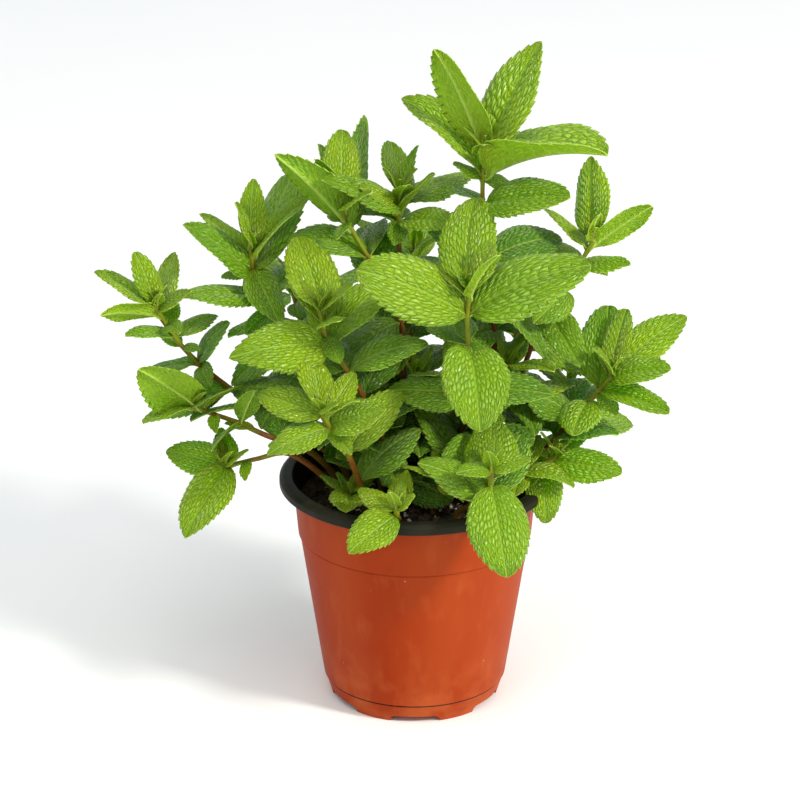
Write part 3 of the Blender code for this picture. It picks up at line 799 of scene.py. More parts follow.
@dataclass
class Blade:
    """Shapes single leaves. Shares are parts of the leaf's length, and sizes are for one of typical length.

    The spreads are how far each leaf differs from the others.
    """

    typical: float = 50.0
    stalk: float = 0.05
    stalk_half: float = 0.8
    base_fullness: float = 0.55
    tip_fullness: float = 0.7
    tooth: float = 0.07
    tooth_round: float = 0.7
    hook: float = 0.35
    margin: float = 0.72
    sweep: float = 0.26
    quilt: float = 0.015
    net: float = 0.2
    groove: float = 0.005
    groove_half: float = 0.5
    curl: float = 0.5
    thickness: float = 0.32
    valley_thickness: float = 0.1
    rib: float = 0.8
    rib_half: float = 0.65
    waves: float = 1.4
    wave_spread: tuple[float, float] = (0.04, 0.10)
    fold_spread: tuple[float, float] = (-7.0, 8.0)
    curl_spread: float = 0.15
    bow_spread: float = 0.035
    twist_spread: float = 0.25
    tone_spread: tuple[float, float] = (-0.2, 0.3)
    templates: dict[Detail, bpy.types.Mesh] = field(default_factory=dict)

    def template(self, detail: Detail) -> bpy.types.Mesh:
        """Makes the flat two-sided sheet that leaves of one fineness are shaped from.

        Args:
            detail: The fineness.

        Returns:
            A closed mesh whose points hold the share along, the share across and the side.
        """
        if detail in self.templates:
            return self.templates[detail]
        sheet = bmesh.new()
        sheet.loops.layers.uv.new("leaf")
        bmesh.ops.create_grid(
            sheet, x_segments=detail.value.along, y_segments=detail.value.rows, size=1.0, calc_uvs=True
        )
        for vertex in sheet.verts:
            vertex.co = ((vertex.co.x + 1) / 2, vertex.co.y, 1.0)
        copied = bmesh.ops.duplicate(sheet, geom=sheet.verts[:] + sheet.edges[:] + sheet.faces[:])["geom"]
        under = [item for item in copied if isinstance(item, bmesh.types.BMFace)]
        for vertex in (item for item in copied if isinstance(item, bmesh.types.BMVert)):
            vertex.co.z = 0.0
        bmesh.ops.reverse_faces(sheet, faces=under)
        edges = [edge for edge in sheet.edges if edge.is_boundary]
        for face in (*under, *bmesh.ops.bridge_loops(sheet, edges=edges)["faces"]):
            face.material_index = 1
        bmesh.ops.recalc_face_normals(sheet, faces=sheet.faces)
        for face in sheet.faces:
            face.smooth = True
        mesh = to_mesh(f"leaf_sheet_{detail.name.lower()}", sheet)
        for name in ("tone", "row", "cell", "vein"):
            mesh.attributes.new(name, "FLOAT", "POINT")
        self.templates[detail] = mesh
        return mesh

    def cells(
        self, run: np.ndarray, across: np.ndarray, grid: Grid, dice: random.Random
    ) -> tuple[np.ndarray, np.ndarray]:
        """Counts the uneven cells of a leaf's net of veins.

        Args:
            run: Shares of the blade's length.
            across: Shares of its half width, to either side.
            grid: The leaf's fineness.
            dice: The source of its small differences.

        Returns:
            How many rows along the leaf each point is, and how many cells to either side of the midrib.
        """
        edge = np.abs(across)
        row = (run - self.sweep * edge**1.25) * grid.domes_along
        cell = across * grid.domes_across
        shifts = [dice.uniform(0.0, 2 * math.pi) + 1.3 * np.sign(across) for _ in range(2)]
        uneven = 0.18 * np.sin(1.3 * cell + 0.6 * row + shifts[0]) + 0.07 * np.sin(4.3 * cell + shifts[1])
        return row + uneven * np.clip(4 * edge, 0.0, 1.0), cell

    def outline(self, run: np.ndarray, dice: random.Random) -> np.ndarray:
        """Works out a leaf's half width as a part of the widest.

        Args:
            run: Shares of the blade's length.
            dice: The source of its small differences.

        Returns:
            The half widths.
        """
        base = self.base_fullness + dice.uniform(-0.1, 0.08)
        tip = self.tip_fullness + dice.uniform(-0.1, 0.2)
        widest = base / (base + tip)
        inside = np.clip(run, 1e-4, 1 - 1e-4)
        return (inside / widest) ** base * ((1 - inside) / (1 - widest)) ** tip

    def shape(
        self, sheet: np.ndarray, grid: Grid, leaf: Leaf, place: np.ndarray, dice: random.Random
    ) -> tuple[np.ndarray, dict[str, np.ndarray]]:
        """Bends a flat sheet into one leaf.

        Args:
            sheet: The sheet's points.
            grid: Its fineness.
            leaf: The planned leaf.
            place: Where on the stem it grows.
            dice: The source of its small differences.

        Returns:
            The points in millimetres, and each point's place in the net of veins.
        """
        column, across, top = sheet[:, 0] * grid.along, sheet[:, 1], sheet[:, 2]
        edge = np.abs(across)
        run = np.clip((column - grid.stalk) / (grid.along - grid.stalk), 0.0, 1.0)
        on_stalk = column < grid.stalk
        share = np.where(on_stalk, self.stalk * column / grid.stalk, self.stalk + (1 - self.stalk) * run)
        scale = math.sqrt(leaf.length / self.typical)

        step = (np.round(column - grid.stalk) % grid.columns / (grid.columns - 1)) ** self.tooth_round
        toothed = smooth(self.margin, 1.0, edge) * smooth(0.0, 0.1, run) * smooth(0.0, 0.06, 1 - run)
        widest = leaf.length * leaf.width / 2
        half = widest * self.outline(run, dice) * (1 + self.tooth * (step - 0.4) * toothed)
        half = np.maximum(half, self.stalk_half * scale * (1 - 0.8 * run))
        share = share + self.hook / grid.teeth * (step - 0.3) * toothed * (1 - self.stalk)

        width_here = edge * half
        middle = np.exp(-((width_here / (self.groove_half * scale)) ** 2))
        row, cell = self.cells(run, across, grid, dice)
        relief = dome(row) * (1 - self.net + self.net * dome(cell)) * (1 - middle)
        ends = (1 - 0.5 * smooth(0.85, 1.0, run)) * (1 - 0.5 * smooth(0.85, 1.0, edge))
        fade = smooth(0.0, 0.1, run) * ends
        height = leaf.length * (self.quilt * relief - self.groove * middle) * fade

        crease = math.tan(math.radians(leaf.fold + dice.uniform(*self.fold_spread))) * (1.25 - 0.6 * run)
        depth = dice.uniform(*self.wave_spread)
        wave = depth * np.sin(2 * np.pi * (self.waves * run + dice.random()) + np.sign(across))
        curl = self.curl + dice.uniform(-self.curl_spread, self.curl_spread)
        lift = width_here * crease - curl * width_here**2 / widest + wave * width_here * edge
        lift = np.where(on_stalk, 0.3 * lift, lift)

        out, side, face = leaf.frame()
        lean, forward, rise = leaf.arc(share)
        bow = leaf.length * dice.uniform(-self.bow_spread, self.bow_spread) * np.sin(np.pi * share)
        twist = dice.uniform(-self.twist_spread, self.twist_spread) * (share - 0.4)

        blade = self.thickness * scale + self.valley_thickness * (1 - relief) * fade
        rib_profile = np.exp(-((width_here / (self.rib_half * scale)) ** 2))
        ridge = self.rib * scale * (1 - 0.75 * share) * rib_profile
        round_stalk = (1 - smooth(0.0, 0.06, run)) * scale * np.sqrt(1 - 0.96 * across**2)
        thick = (blade + ridge + round_stalk) * (1 - top)

        up = np.cos(lean)[:, None] * face - np.sin(lean)[:, None] * out
        turned_side = np.cos(twist)[:, None] * side + np.sin(twist)[:, None] * up
        turned_up = np.cos(twist)[:, None] * up - np.sin(twist)[:, None] * side
        points = place + forward[:, None] * out + rise[:, None] * face + bow[:, None] * side
        points = points + turned_side * (across * half)[:, None]
        points = points + turned_up * (height + lift - thick)[:, None]
        rim = 0.5 * smooth(0.93, 1.0, edge)
        return points, {"row": row, "cell": cell, "vein": np.maximum(middle, rim)}

    def grow(self, piece: bmesh.types.BMesh, leaf: Leaf, place: np.ndarray, tone: float, seed: str) -> None:
        """Adds one finished leaf to a piece.

        Args:
            piece: The piece.
            leaf: The planned leaf.
            place: Where on the stem it grows.
            tone: Its green, from 0, young, to 1, old.
            seed: What its small differences are drawn from.
        """
        detail = Detail.of(leaf.length)
        mesh = self.template(detail).copy()
        sheet = np.empty(len(mesh.vertices) * 3, np.float32)
        mesh.vertices.foreach_get("co", sheet)
        dice = random.Random(seed)
        points, marks = self.shape(sheet.reshape(-1, 3).astype(float), detail.value, leaf, place, dice)
        mesh.vertices.foreach_set("co", (points * MM).astype(np.float32).ravel())
        marks["tone"] = np.full(len(points), min(max(tone + dice.uniform(*self.tone_spread), 0.0), 1.0))
        for name, values in marks.items():
            mesh.attributes[name].data.foreach_set("value", values.astype(np.float32))
        piece.from_mesh(mesh)
        bpy.data.meshes.remove(mesh)


@dataclass(frozen=True)
class Cane:
    """Shapes stems: sizes in millimetres, and how square and how swollen at the joints they are."""

    foot_radius: float = 1.5
    tip_radius: float = 0.85
    square: float = 0.07
    swelling: float = 0.3
    swell_reach: float = 2.4
    pitch: float = 1.4
    around: int = 16
    beyond: float = 1.5
    start: tuple[float, float, float] = (0.31, -0.95, 0.0)

    def radius(self, shoot: Shoot, back: np.ndarray) -> np.ndarray:
        """Works out a stem's radius.

        Args:
            shoot: The shoot.
            back: Distances back from the apex.

        Returns:
            The radii.
        """
        share = np.clip(back / shoot.line.length, 0.0, 1.0)
        radius = self.tip_radius + (self.foot_radius - self.tip_radius) * share**0.8
        for joint in shoot.joints:
            radius = radius * (1 + self.swelling * np.exp(-(((back - joint) / self.swell_reach) ** 2)))
        return radius * np.sqrt(np.clip((back + self.beyond) / self.beyond, 0.05, 1.0))

    def grow(self, piece: bmesh.types.BMesh, shoot: Shoot, material: int = 0) -> None:
        """Adds a stem to a piece.

        Args:
            piece: The piece.
            shoot: The shoot.
            material: The index of its material.
        """
        length = shoot.line.length
        tone = piece.verts.layers.float.get("tone") or piece.verts.layers.float.new("tone")
        old_faces = set(piece.faces)
        rings = int(length / self.pitch)
        made = bmesh.ops.create_grid(piece, x_segments=rings, y_segments=self.around, size=1.0)["verts"]
        sheet = np.array([vertex.co for vertex in made])
        back = length - (length + self.beyond) * (sheet[:, 0] + 1) / 2
        steps, ring = np.unique(np.round(back, 5), return_inverse=True)
        line = shoot.line.place(steps)
        along = np.gradient(line, axis=0)
        along = along / np.linalg.norm(along, axis=1)[:, None]
        first = np.cross(along, self.start)
        first = first / np.linalg.norm(first, axis=1)[:, None]
        second = np.cross(along, first)
        angle = np.pi * sheet[:, 1]
        radius = self.radius(shoot, back) * (1 + self.square * np.cos(4 * angle))
        points = line[ring] + first[ring] * (radius * np.cos(angle))[:, None]
        points = points + second[ring] * (radius * np.sin(angle))[:, None]
        shares = np.clip(1 - back / length, 0.0, 1.0)
        for vertex, point, share in zip(made, points * MM, shares):
            vertex.co = point
            vertex[tone] = share
        bmesh.ops.remove_doubles(piece, verts=made, dist=1e-7)
        edges = [edge for edge in piece.edges if edge.is_boundary]
        bmesh.ops.holes_fill(piece, edges=edges, sides=self.around)
        faces = [face for face in piece.faces if face not in old_faces]
        bmesh.ops.recalc_face_normals(piece, faces=faces)
        for face in faces:
            face.smooth = True
            face.material_index = material


@dataclass
class Room:
    """Keeps count of where the leaves are, so that added leaves stay clear. Sizes in millimetres."""

    low: np.ndarray
    high: np.ndarray
    clearance: float = 2.6
    floor: float = 98.0
    mouth_radius: float = 40.0
    lip_radius: float = 74.0
    lip_clear: float = 110.0
    bare_side: tuple[float, float] = (-0.85, -0.5)
    bare_share: float = 0.35
    bare_top: float = 124.0
    taken: list[np.ndarray] = field(default_factory=list)

    def take(self, leaf: Leaf, place: np.ndarray) -> None:
        """Counts a leaf's room as taken."""
        self.taken.append(leaf.marks(place))

    def is_clear(self, leaf: Leaf, place: np.ndarray) -> bool:
        """Checks that a new leaf fits.

        Args:
            leaf: The leaf.
            place: Where it grows.

        Returns:
            Whether it is inside the plant's box, above the soil and the lip, and clear of the others.
        """
        marks = leaf.marks(place)
        if (marks < self.low).any() or (marks > self.high).any() or marks[:, 2].min() < self.floor:
            return False
        outward = np.linalg.norm(marks[:, :2], axis=1)
        over_lip = (outward > self.mouth_radius) & (outward < self.lip_radius)
        bare = marks[:, :2] @ self.bare_side > self.bare_share * outward
        if (over_lip & (marks[:, 2] < np.where(bare, self.bare_top, self.lip_clear))).any():
            return False
        gaps = np.linalg.norm(marks[:, None, :] - np.concatenate(self.taken)[None, :, :], axis=2)
        return bool(gaps.min() > self.clearance)


@dataclass
class Plant:
    """Grows the mint: the planned shoots and sprigs, and small leaves that fill them in.

    Each level of a bud is its distance back from the apex, its leaves' length and their rise.
    """

    room: Room
    nodes: frozenset[str]
    blade: Blade = field(default_factory=Blade)
    cane: Cane = field(default_factory=Cane)
    fresh: frozenset[str] = frozenset({"front_left", "low_middle", "upper_right"})
    fresh_tone: float = -0.25
    tip_tone: float = 0.05
    old_tone: float = 0.7
    old_back: float = 55.0
    bud_levels: tuple[tuple[float, ...], ...] = ((3.5, 21.0, 38.0), (1.0, 14.0, 55.0), (-0.5, 8.0, 70.0))
    bud_width: float = 0.46
    extra_first: int = 10
    extra_last: int = 14
    extra_spacing: float = 18.0
    extra_length: float = 38.0
    crowded: float = 8.0
    crowded_length: float = 16.0
    sun: tuple[float, float, float] = (0.0, -0.55, 0.8)
    tries: int = 40
    seed: int = 11

    def __post_init__(self) -> None:
        """Makes the plant's finishes and its dice."""
        self.skins = (UPPER.material(), UNDER.material(), StemSkin().material())
        self.dice = random.Random(self.seed)

    def add_leaves(self, piece: bmesh.types.BMesh, shoot: Shoot, pairs: Iterable[Pair], label: str) -> None:
        """Adds leaves to a piece, yellower near a tip and in the youngest shoots.

        Args:
            piece: The piece.
            shoot: The shoot that they grow on.
            pairs: The leaves.
            label: What their small differences are drawn from.
        """
        fresh = self.fresh_tone if shoot.name in self.fresh else 0.0
        for pair in pairs:
            tone = self.tip_tone + min(pair.back / self.old_back, self.old_tone) + fresh
            for number, leaf in enumerate(pair.leaves):
                place = shoot.line.place(pair.back)
                self.blade.grow(piece, leaf, place, tone, f"{label}_{shoot.name}_{pair.back}_{number}")

    def bud(self, shoot: Shoot) -> list[Pair]:
        """Plans the small upright leaves round an apex.

        Args:
            shoot: The shoot.

        Returns:
            The pairs, the outermost only where it has room.
        """
        start = self.dice.uniform(0.0, 180.0)
        pairs = []
        for level, (back, length, rise) in enumerate(self.bud_levels):
            leaves = [
                Leaf(
                    start + 90 * level + half_turn,
                    rise + self.dice.uniform(-8, 8),
                    length * self.dice.uniform(0.85, 1.15),
                    width=self.bud_width,
                )
                for half_turn in (0, 180)
            ]
            if level == 0:
                leaves = [leaf for leaf in leaves if self.room.is_clear(leaf, shoot.line.place(back))]
            pairs.append(Pair(back, tuple(leaves)))
        return pairs

    def extras(self, shoot: Shoot) -> list[Pair]:
        """Plans leaves for the bare lengths of a stem, where there is room.

        Args:
            shoot: The shoot.

        Returns:
            The pairs.
        """
        pairs = []
        turn = self.dice.uniform(0.0, 360.0)
        back = min(shoot.joints) + self.extra_first
        while back < shoot.line.length - self.extra_last:
            near = min(abs(back - joint) for joint in shoot.joints)
            length = self.extra_length if near > self.crowded else self.crowded_length
            place = shoot.line.place(back)
            leaves = [self.fit(place, turn + half_turn, length) for half_turn in (0.0, 180.0)]
            pairs.append(Pair(back, tuple(leaf for leaf in leaves if leaf is not None)))
            turn += 90 + self.dice.uniform(-20, 20)
            back += self.extra_spacing * self.dice.uniform(0.7, 1.1)
        return [pair for pair in pairs if pair.leaves]

    def fit(self, place: np.ndarray, turn: float, length: float) -> Leaf | None:
        """Looks for the free way to put a leaf that shows it best to the light.

        Args:
            place: Where it grows.
            turn: Its compass turn at the start.
            length: Its greatest length.

        Returns:
            The leaf, or nothing where there is no room.
        """
        outward = place * (1, 1, 0) / max(float(np.linalg.norm(place[:2])), 20.0)
        light = 0.4 * outward + np.array(self.sun)
        best: Leaf | None = None
        best_score = 0.0
        for _ in range(self.tries):
            leaf = Leaf(
                turn + self.dice.uniform(-50, 50),
                self.dice.uniform(-35, 50),
                length * self.dice.uniform(0.6, 1.0),
                *(self.dice.uniform(*spread) for spread in ((-45, 45), (20, 50), (0.48, 0.62))),
            )
            score = float(leaf.frame()[2] @ light) * leaf.length
            if score > best_score and self.room.is_clear(leaf, place):
                best, best_score = leaf, score
        if best is not None:
            self.room.take(best, place)
        return best

    def leafy(self, name: str, shoot: Shoot, pairs: Iterable[Pair], label: str, node: str = "") -> None:
        """Builds a piece that is only leaves.

        Args:
            name: The piece's name.
            shoot: The shoot that they grow on.
            pairs: The leaves.
            label: What their small differences are drawn from.
            node: The CAD node that it stands for, where there is one.
        """
        piece = bmesh.new()
        self.add_leaves(piece, shoot, pairs, label)
        finish_piece(name, piece, Part.LEAF, self.skins[:2], *self.nodes.intersection({node}))

    def grow_shoot(self, shoot: Shoot) -> None:
        """Builds a shoot's stem, tip, leaf pairs and small side leaves.

        Args:
            shoot: The shoot.
        """
        extras = self.extras(shoot)
        stem = bmesh.new()
        self.cane.grow(stem, shoot)
        finish_piece(f"cane_{shoot.name}", stem, Part.STEM, self.skins[2:], f"stem_{shoot.name}")
        crown = (*self.bud(shoot), *shoot.crown)
        self.leafy(f"tip_{shoot.name}", shoot, crown, "crown", f"crown_{shoot.name}")
        for number, pair in enumerate(shoot.pairs, start=1):
            end = f"{shoot.name}_{number}"
            self.leafy(f"leaves_{end}", shoot, (pair,), "pair", f"leaf_pair_{end}")
        if extras:
            self.leafy(f"small_leaves_{shoot.name}", shoot, extras, "small")

    def grow_sprig(self, sprig: Shoot) -> None:
        """Builds a sprig, which is one piece with its own stem.

        Args:
            sprig: The sprig.
        """
        extras = self.extras(sprig)
        piece = bmesh.new()
        self.add_leaves(piece, sprig, (*self.bud(sprig), *sprig.crown, *sprig.pairs, *extras), "sprig")
        self.cane.grow(piece, sprig, material=2)
        finish_piece(f"shoot_{sprig.name}", piece, Part.LEAF, self.skins, f"sprig_{sprig.name}")

    def build(self) -> None:
        """Builds every shoot and sprig, once all the planned leaves have their room."""
        for shoot in (*SHOOTS, *SPRIGS):
            for pair in (*shoot.crown, *shoot.pairs):
                for leaf in pair.leaves:
                    self.room.take(leaf, shoot.line.place(pair.back))
        for shoot in SHOOTS:
            self.grow_shoot(shoot)
        for sprig in SPRIGS:
            self.grow_sprig(sprig)


# Pot and soil


def rounded(corners: Sequence[tuple[float, float, float]], steps: int = 6) -> list[tuple[float, float]]:
    """Rounds the corners of an outline.

    Args:
        corners: Each corner's radius from the axis, height and rounding.
        steps: How many steps each rounding has.

    Returns:
        The outline's points.
    """
    points = [corners[0][:2]]
    for before, (x, z, rounding), after in zip(corners, corners[1:], corners[2:]):
        here = Vector((x, z))
        before, after = ((Vector(end[:2]) - here).normalized() for end in (before, after))
        cut = rounding / math.tan(before.angle(after) / 2)
        start, end = here + before * cut, here + after * cut
        for step in range(steps + 1):
            t = step / steps
            points.append(tuple(start * (1 - t) ** 2 + here * (2 * t * (1 - t)) + end * t**2))
    return [*points, corners[-1][:2]]


def lathe(outline: Sequence[tuple[float, float]], steps: int) -> bmesh.types.BMesh:
    """Spins an outline round the upright axis into a closed body.

    Args:
        outline: Points of radius and height, from the axis to the axis, in millimetres.
        steps: How many faces it has all round.

    Returns:
        The body.
    """
    piece = bmesh.new()
    chain = [piece.verts.new((x * MM, 0, z * MM)) for x, z in outline]
    edges = [piece.edges.new(ends) for ends in zip(chain, chain[1:])]
    turn = {"cent": (0, 0, 0), "axis": (0, 0, 1), "angle": 2 * math.pi, "steps": steps}
    bmesh.ops.spin(piece, geom=chain + edges, use_merge=True, **turn)
    bmesh.ops.remove_doubles(piece, verts=piece.verts, dist=1e-6)
    bmesh.ops.recalc_face_normals(piece, faces=piece.faces)
    return piece


@dataclass
class Pot:
    """A thin moulded nursery pot: rust red outside and near black inside. Sizes in millimetres."""

    height: float = 104.5
    lip_radius: float = 60.0
    lip_drop: float = 5.0
    mouth_radius: float = 53.5
    wall_top_radius: float = 53.8
    band_z: float = 77.0
    band_radius: float = 51.8
    foot_z: float = 9.0
    foot_radius: float = 40.8
    base_radius: float = 37.5
    foot_ring: float = 4.0
    step: float = 0.7
    groove: float = 0.35
    wall: float = 1.0
    floor: float = 4.0
    recess: float = 2.5
    notches: int = 6
    notch_size: tuple[float, float, float] = (22.0, 12.0, 6.0)
    notch_corner: float = 2.6
    holes: int = 6
    hole_radius: float = 3.5
    hole_depth: float = 12.0
    hole_ring: float = 23.0
    pad_radius: float = 12.0
    pad_z: float = 0.6
    around: int = 180
    sharp: float = 38.0

    def outline(self) -> list[tuple[float, float]]:
        """Draws the pot's section, from the axis under the floor round the wall to the axis above it.

        Returns:
            Points of radius and height.
        """
        lip_low = self.height - self.lip_drop
        foot = self.foot_radius - self.step
        band = self.band_radius - self.step
        return rounded(
            (
                (0.0, self.pad_z, 0.0),
                (self.pad_radius, self.pad_z, 0.4),
                (self.pad_radius + 1.0, self.recess, 0.4),
                (self.base_radius - self.foot_ring, self.recess, 0.5),
                (self.base_radius - self.foot_ring + 0.5, 0.0, 0.3),
                (self.base_radius, 0.0, 0.5),
                (foot, self.foot_z - 0.6, 0.2),
                (foot - self.groove, self.foot_z - 0.1, 0.12),
                (self.foot_radius, self.foot_z + 0.4, 0.3),
                (band - 0.1, self.band_z - 0.7, 0.25),
                (band - self.groove, self.band_z - 0.1, 0.12),
                (self.band_radius, self.band_z + 0.4, 0.3),
                (self.wall_top_radius, lip_low - 0.2, 0.4),
                (self.lip_radius - 1.0, lip_low, 0.8),
                (self.lip_radius, lip_low + 0.8, 0.8),
                (self.lip_radius, self.height - 1.2, 1.2),
                (self.lip_radius - 1.6, self.height, 1.4),
                (self.mouth_radius + 0.8, self.height, 0.9),
                (self.mouth_radius - 0.2, lip_low - 1.0, 0.8),
                (self.wall_top_radius - self.wall, lip_low - 3.0, 0.6),
                (band - self.wall, self.band_z, 0.4),
                (foot - self.wall, self.foot_z, 0.4),
                (self.base_radius - self.wall, self.floor, 1.5),
                (0.0, self.floor, 0.0),
            )
        )

    def cutters(self) -> bpy.types.Object:
        """Makes the solids that cut the foot's arches and the drain holes.

        Returns:
            One object with all of them.
        """
        piece = bmesh.new()
        length = self.notch_size[1] * MM
        for number in range(self.notches):
            turn = Matrix.Rotation(2 * math.pi * number / self.notches, 4, "Z")
            place = turn @ Matrix.Translation(Vector((0, -self.base_radius * MM, 0)))
            size = Matrix.Diagonal((*(side * MM for side in self.notch_size), 1))
            made = bmesh.ops.create_cube(piece, size=1.0, matrix=place @ size)["verts"]
            edges = dict.fromkeys(edge for vertex in made for edge in vertex.link_edges)
            top = [edge for edge in edges if min(vertex.co.z for vertex in edge.verts) > 0]
            long = [edge for edge in top if abs(edge.calc_length() - length) < 1e-6]
            corner = self.notch_corner * MM
            bmesh.ops.bevel(
                piece, geom=long, offset=corner, segments=6, profile=0.5, affect="EDGES", material=-1
            )
        for number in range(self.holes):
            turn = Matrix.Rotation(2 * math.pi * (number + 0.5) / self.holes, 4, "Z")
            place = turn @ Matrix.Translation(Vector((0, -self.hole_ring, self.floor)) * MM)
            radius, depth = self.hole_radius * MM, self.hole_depth * MM
            bmesh.ops.create_cone(
                piece, cap_ends=True, segments=32, radius1=radius, radius2=radius, depth=depth, matrix=place
            )
        return stand("pot_cutters", to_mesh("pot_cutters", piece))

    def is_black(self, face: bmesh.types.BMFace) -> bool:
        """Says whether a face belongs to the dark layer: the lip, the inner wall and the floor's upper side.

        Args:
            face: The face.

        Returns:
            Whether it does.
        """
        centre = face.calc_center_median()
        inward = Vector((centre.x, centre.y, 0)).dot(face.normal) < 0 and centre.z > self.floor * MM
        above_floor = face.normal.z > 0.5 and centre.z > 0.9 * self.floor * MM
        on_lip = centre.z > (self.height - self.lip_drop) * MM - 0.0003
        return on_lip or above_floor or (inward and face.normal.z > -0.5)

    def build(self) -> None:
        """Spins the pot, cuts it and gives it its two finishes."""
        piece = lathe(self.outline(), self.around)
        for face in piece.faces:
            face.material_index = int(self.is_black(face))
        made = finish_piece("nursery_pot", piece, Part.POT, (RUST.material(), BLACK.material()), "pot")
        cutters = self.cutters()
        cut = made.modifiers.new("cut", "BOOLEAN")
        cut.operation = "DIFFERENCE"
        cut.solver = "EXACT"
        cut.object = cutters
        bpy.context.view_layer.update()
        mesh = bpy.data.meshes.new_from_object(made.evaluated_get(bpy.context.evaluated_depsgraph_get()))
        made.modifiers.clear()
        made.data = mesh
        bpy.data.objects.remove(cutters)
        for polygon in mesh.polygons:
            polygon.use_smooth = True
        mesh.set_sharp_from_angle(angle=math.radians(self.sharp))


@dataclass(frozen=True)
class Grains:
    """A kind of loose grain: its name, finish and number, and its smallest and largest radius."""

    name: str
    skin: GrainSkin
    count: int
    sizes: tuple[float, float]


@dataclass
class Soil:
    """Peat with perlite, a little below the pot's lip. Sizes in millimetres."""

    level: float = 93.0
    crown: float = 1.5
    radius: float = 51.2
    bottom_radius: float = 38.0
    bottom: float = 4.5
    bottom_edge: tuple[float, float] = (4.0, 6.0)
    roughness: float = 1.3
    lump: float = 7.0
    rings: int = 56
    around: int = 168
    edge: float = 2.5
    loose: tuple[Grains, ...] = (
        Grains("peat_clods", CLOD, 560, (0.7, 2.2)),
        Grains("perlite_grains", PERLITE, 150, (0.5, 1.3)),
    )
    seed: int = 5

    def top(self, x: float, y: float) -> float:
        """Works out the height of the soil at a place.

        Args:
            x: The place.
            y: The place.

        Returns:
            The height.
        """
        out = math.hypot(x, y) / self.radius
        lumps = noise.fractal(Vector((x, y, 3.7)) / self.lump, 0.9, 2.1, 4)
        return self.level + self.crown * (1 - out**2) + self.roughness * lumps * (1 if out < 0.97 else 0.4)

    def build(self) -> None:
        """Builds the bed of peat, its clods and the perlite."""
        outline = [(self.radius * step / self.rings, self.level) for step in range(self.rings + 1)]
        across, up = self.bottom_edge
        outline += [(self.bottom_radius, self.bottom + up), (self.bottom_radius - across, self.bottom)]
        bed = lathe([*outline, (0.0, self.bottom)], self.around)
        for vertex in bed.verts:
            if vertex.co.z > (self.level - 1) * MM:
                vertex.co.z = self.top(vertex.co.x / MM, vertex.co.y / MM) * MM
        for face in bed.faces:
            face.smooth = True
        finish_piece("peat_bed", bed, Part.SOIL, (PeatSkin().material(),), "soil")
        dice = random.Random(self.seed)
        for grains in self.loose:
            self.scatter(grains, dice)

    def scatter(self, grains: Grains, dice: random.Random) -> None:
        """Scatters grains over the soil.

        Args:
            grains: The kind of grain.
            dice: What their places are drawn from.
        """
        piece = bmesh.new()
        for _ in range(grains.count):
            turn = dice.uniform(0.0, 2 * math.pi)
            size = dice.uniform(*grains.sizes)
            out = (self.radius - self.edge) * math.sqrt(dice.random())
            x, y = out * math.cos(turn), out * math.sin(turn)
            place = Matrix.Translation(Vector((x, y, self.top(x, y) + 0.3 * size)) * MM)
            tilt, spin = (Matrix.Rotation(dice.uniform(0.0, math.pi), 4, axis) for axis in "XZ")
            sides = [dice.uniform(*spread) for spread in ((0.7, 1.3), (0.7, 1.3), (0.5, 0.9))]
            matrix = place @ tilt @ spin @ Matrix.Diagonal((*sides, 1))
            made = bmesh.ops.create_icosphere(piece, subdivisions=1, radius=size * MM, matrix=matrix)
            for vertex in made["verts"]:
                vertex.co += Vector([dice.uniform(-0.2, 0.2) * size * MM for _ in range(3)])
        finish_piece(grains.name, piece, Part.SOIL, (grains.skin.material(),))


# Studio


@dataclass(frozen=True)
class Lamp:
    """A soft square light: its place and its side in metres, and its power in watts."""

    name: str
    place: tuple[float, float, float]
    size: float
    power: float


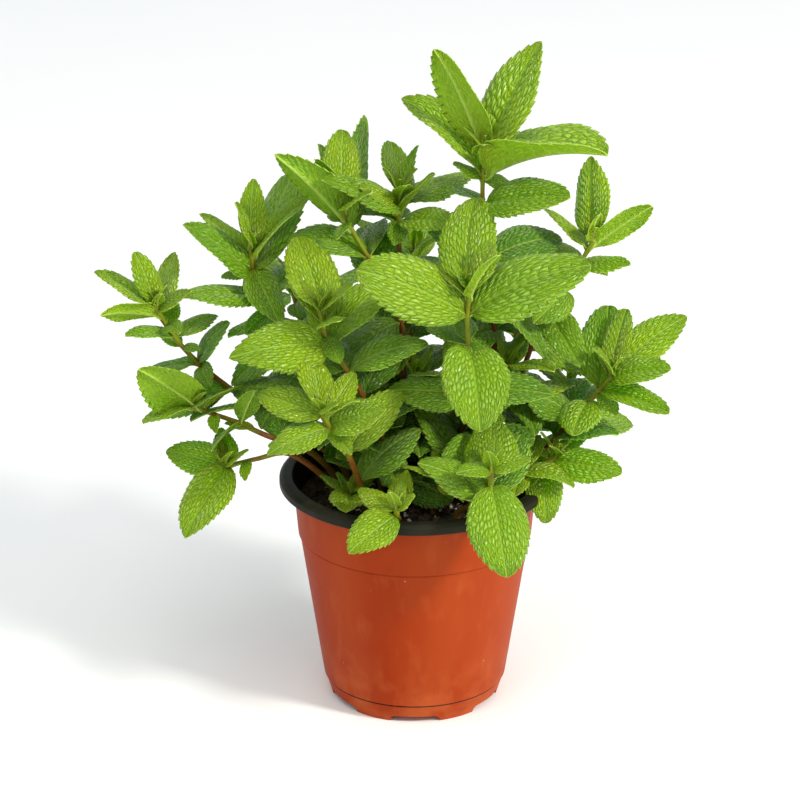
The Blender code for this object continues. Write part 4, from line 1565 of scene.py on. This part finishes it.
@dataclass
class Studio:
    """A pale floor, soft light and the camera. Lengths in metres and angles in degrees."""

    distance: float = 1.5
    elevation: float = 21.5
    lens: float = 153.9
    sensor: float = 36.0
    target: tuple[float, float, float] = (-0.0066, 0.0, 0.1387)
    floor_size: float = 8.0
    lamps: tuple[Lamp, ...] = (
        Lamp("key", (1.4, -0.95, 1.3), 0.3, 36.0),
        Lamp("fill", (-0.2, -1.0, 2.0), 1.2, 12.0),
    )
    sunlight: tuple[float, float, float] = (1.0, 0.97, 0.88)
    sky: Colour = (0.93, 0.97, 1.0, 1.0)
    sky_strength: float = 0.8

    def place_camera(self) -> None:
        """Sets the camera at the viewing angle."""
        settings = bpy.data.cameras.new("camera")
        settings.lens = self.lens
        settings.sensor_width = self.sensor
        made = stand("camera", settings)
        up = math.radians(self.elevation)
        made.location = Vector(self.target) + self.distance * Vector((0, -math.cos(up), math.sin(up)))
        made.rotation_euler = (math.pi / 2 - up, 0, 0)
        bpy.context.scene.camera = made

    def hang(self, lamp: Lamp) -> None:
        """Hangs a lamp so that it shines at the plant.

        Args:
            lamp: The lamp.
        """
        settings = bpy.data.lights.new(lamp.name, "AREA")
        settings.color = self.sunlight
        settings.size = lamp.size
        settings.energy = lamp.power
        made = stand(lamp.name, settings)
        made.location = lamp.place
        made.rotation_euler = (Vector(self.target) - made.location).to_track_quat("-Z", "Y").to_euler()

    def build(self) -> None:
        """Lays the floor, sets the lights and places the camera."""
        piece = bmesh.new()
        bmesh.ops.create_grid(piece, x_segments=8, y_segments=8, size=self.floor_size / 2)
        stand("floor", to_mesh("floor", piece, FloorSkin().material()))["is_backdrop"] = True
        world = bpy.data.worlds.new("soft_sky")
        world.use_nodes = True
        background = world.node_tree.nodes["Background"]
        background.inputs["Color"].default_value = self.sky
        background.inputs["Strength"].default_value = self.sky_strength
        bpy.context.scene.world = world
        for lamp in self.lamps:
            self.hang(lamp)
        self.place_camera()
        bpy.context.scene.view_settings.view_transform = "Standard"


def corners(box: Any) -> list[list[float]]:
    """Turns a box's two corners into plain lists of numbers."""
    return [[float(value) for value in corner] for corner in box]


def main() -> None:
    """Builds the plant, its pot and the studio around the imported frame."""
    logging.basicConfig(level=logging.INFO, format="%(name)s: %(message)s")
    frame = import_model()
    cad_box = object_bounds()
    low, high = (np.array(corner) / MM for corner in cad_box)
    Pot().build()
    Soil().build()
    Plant(Room(low, high), frozenset(frame["nodes"])).build()
    Studio().build()
    LOG.info("Finished")


if __name__ == "__main__":
    main()
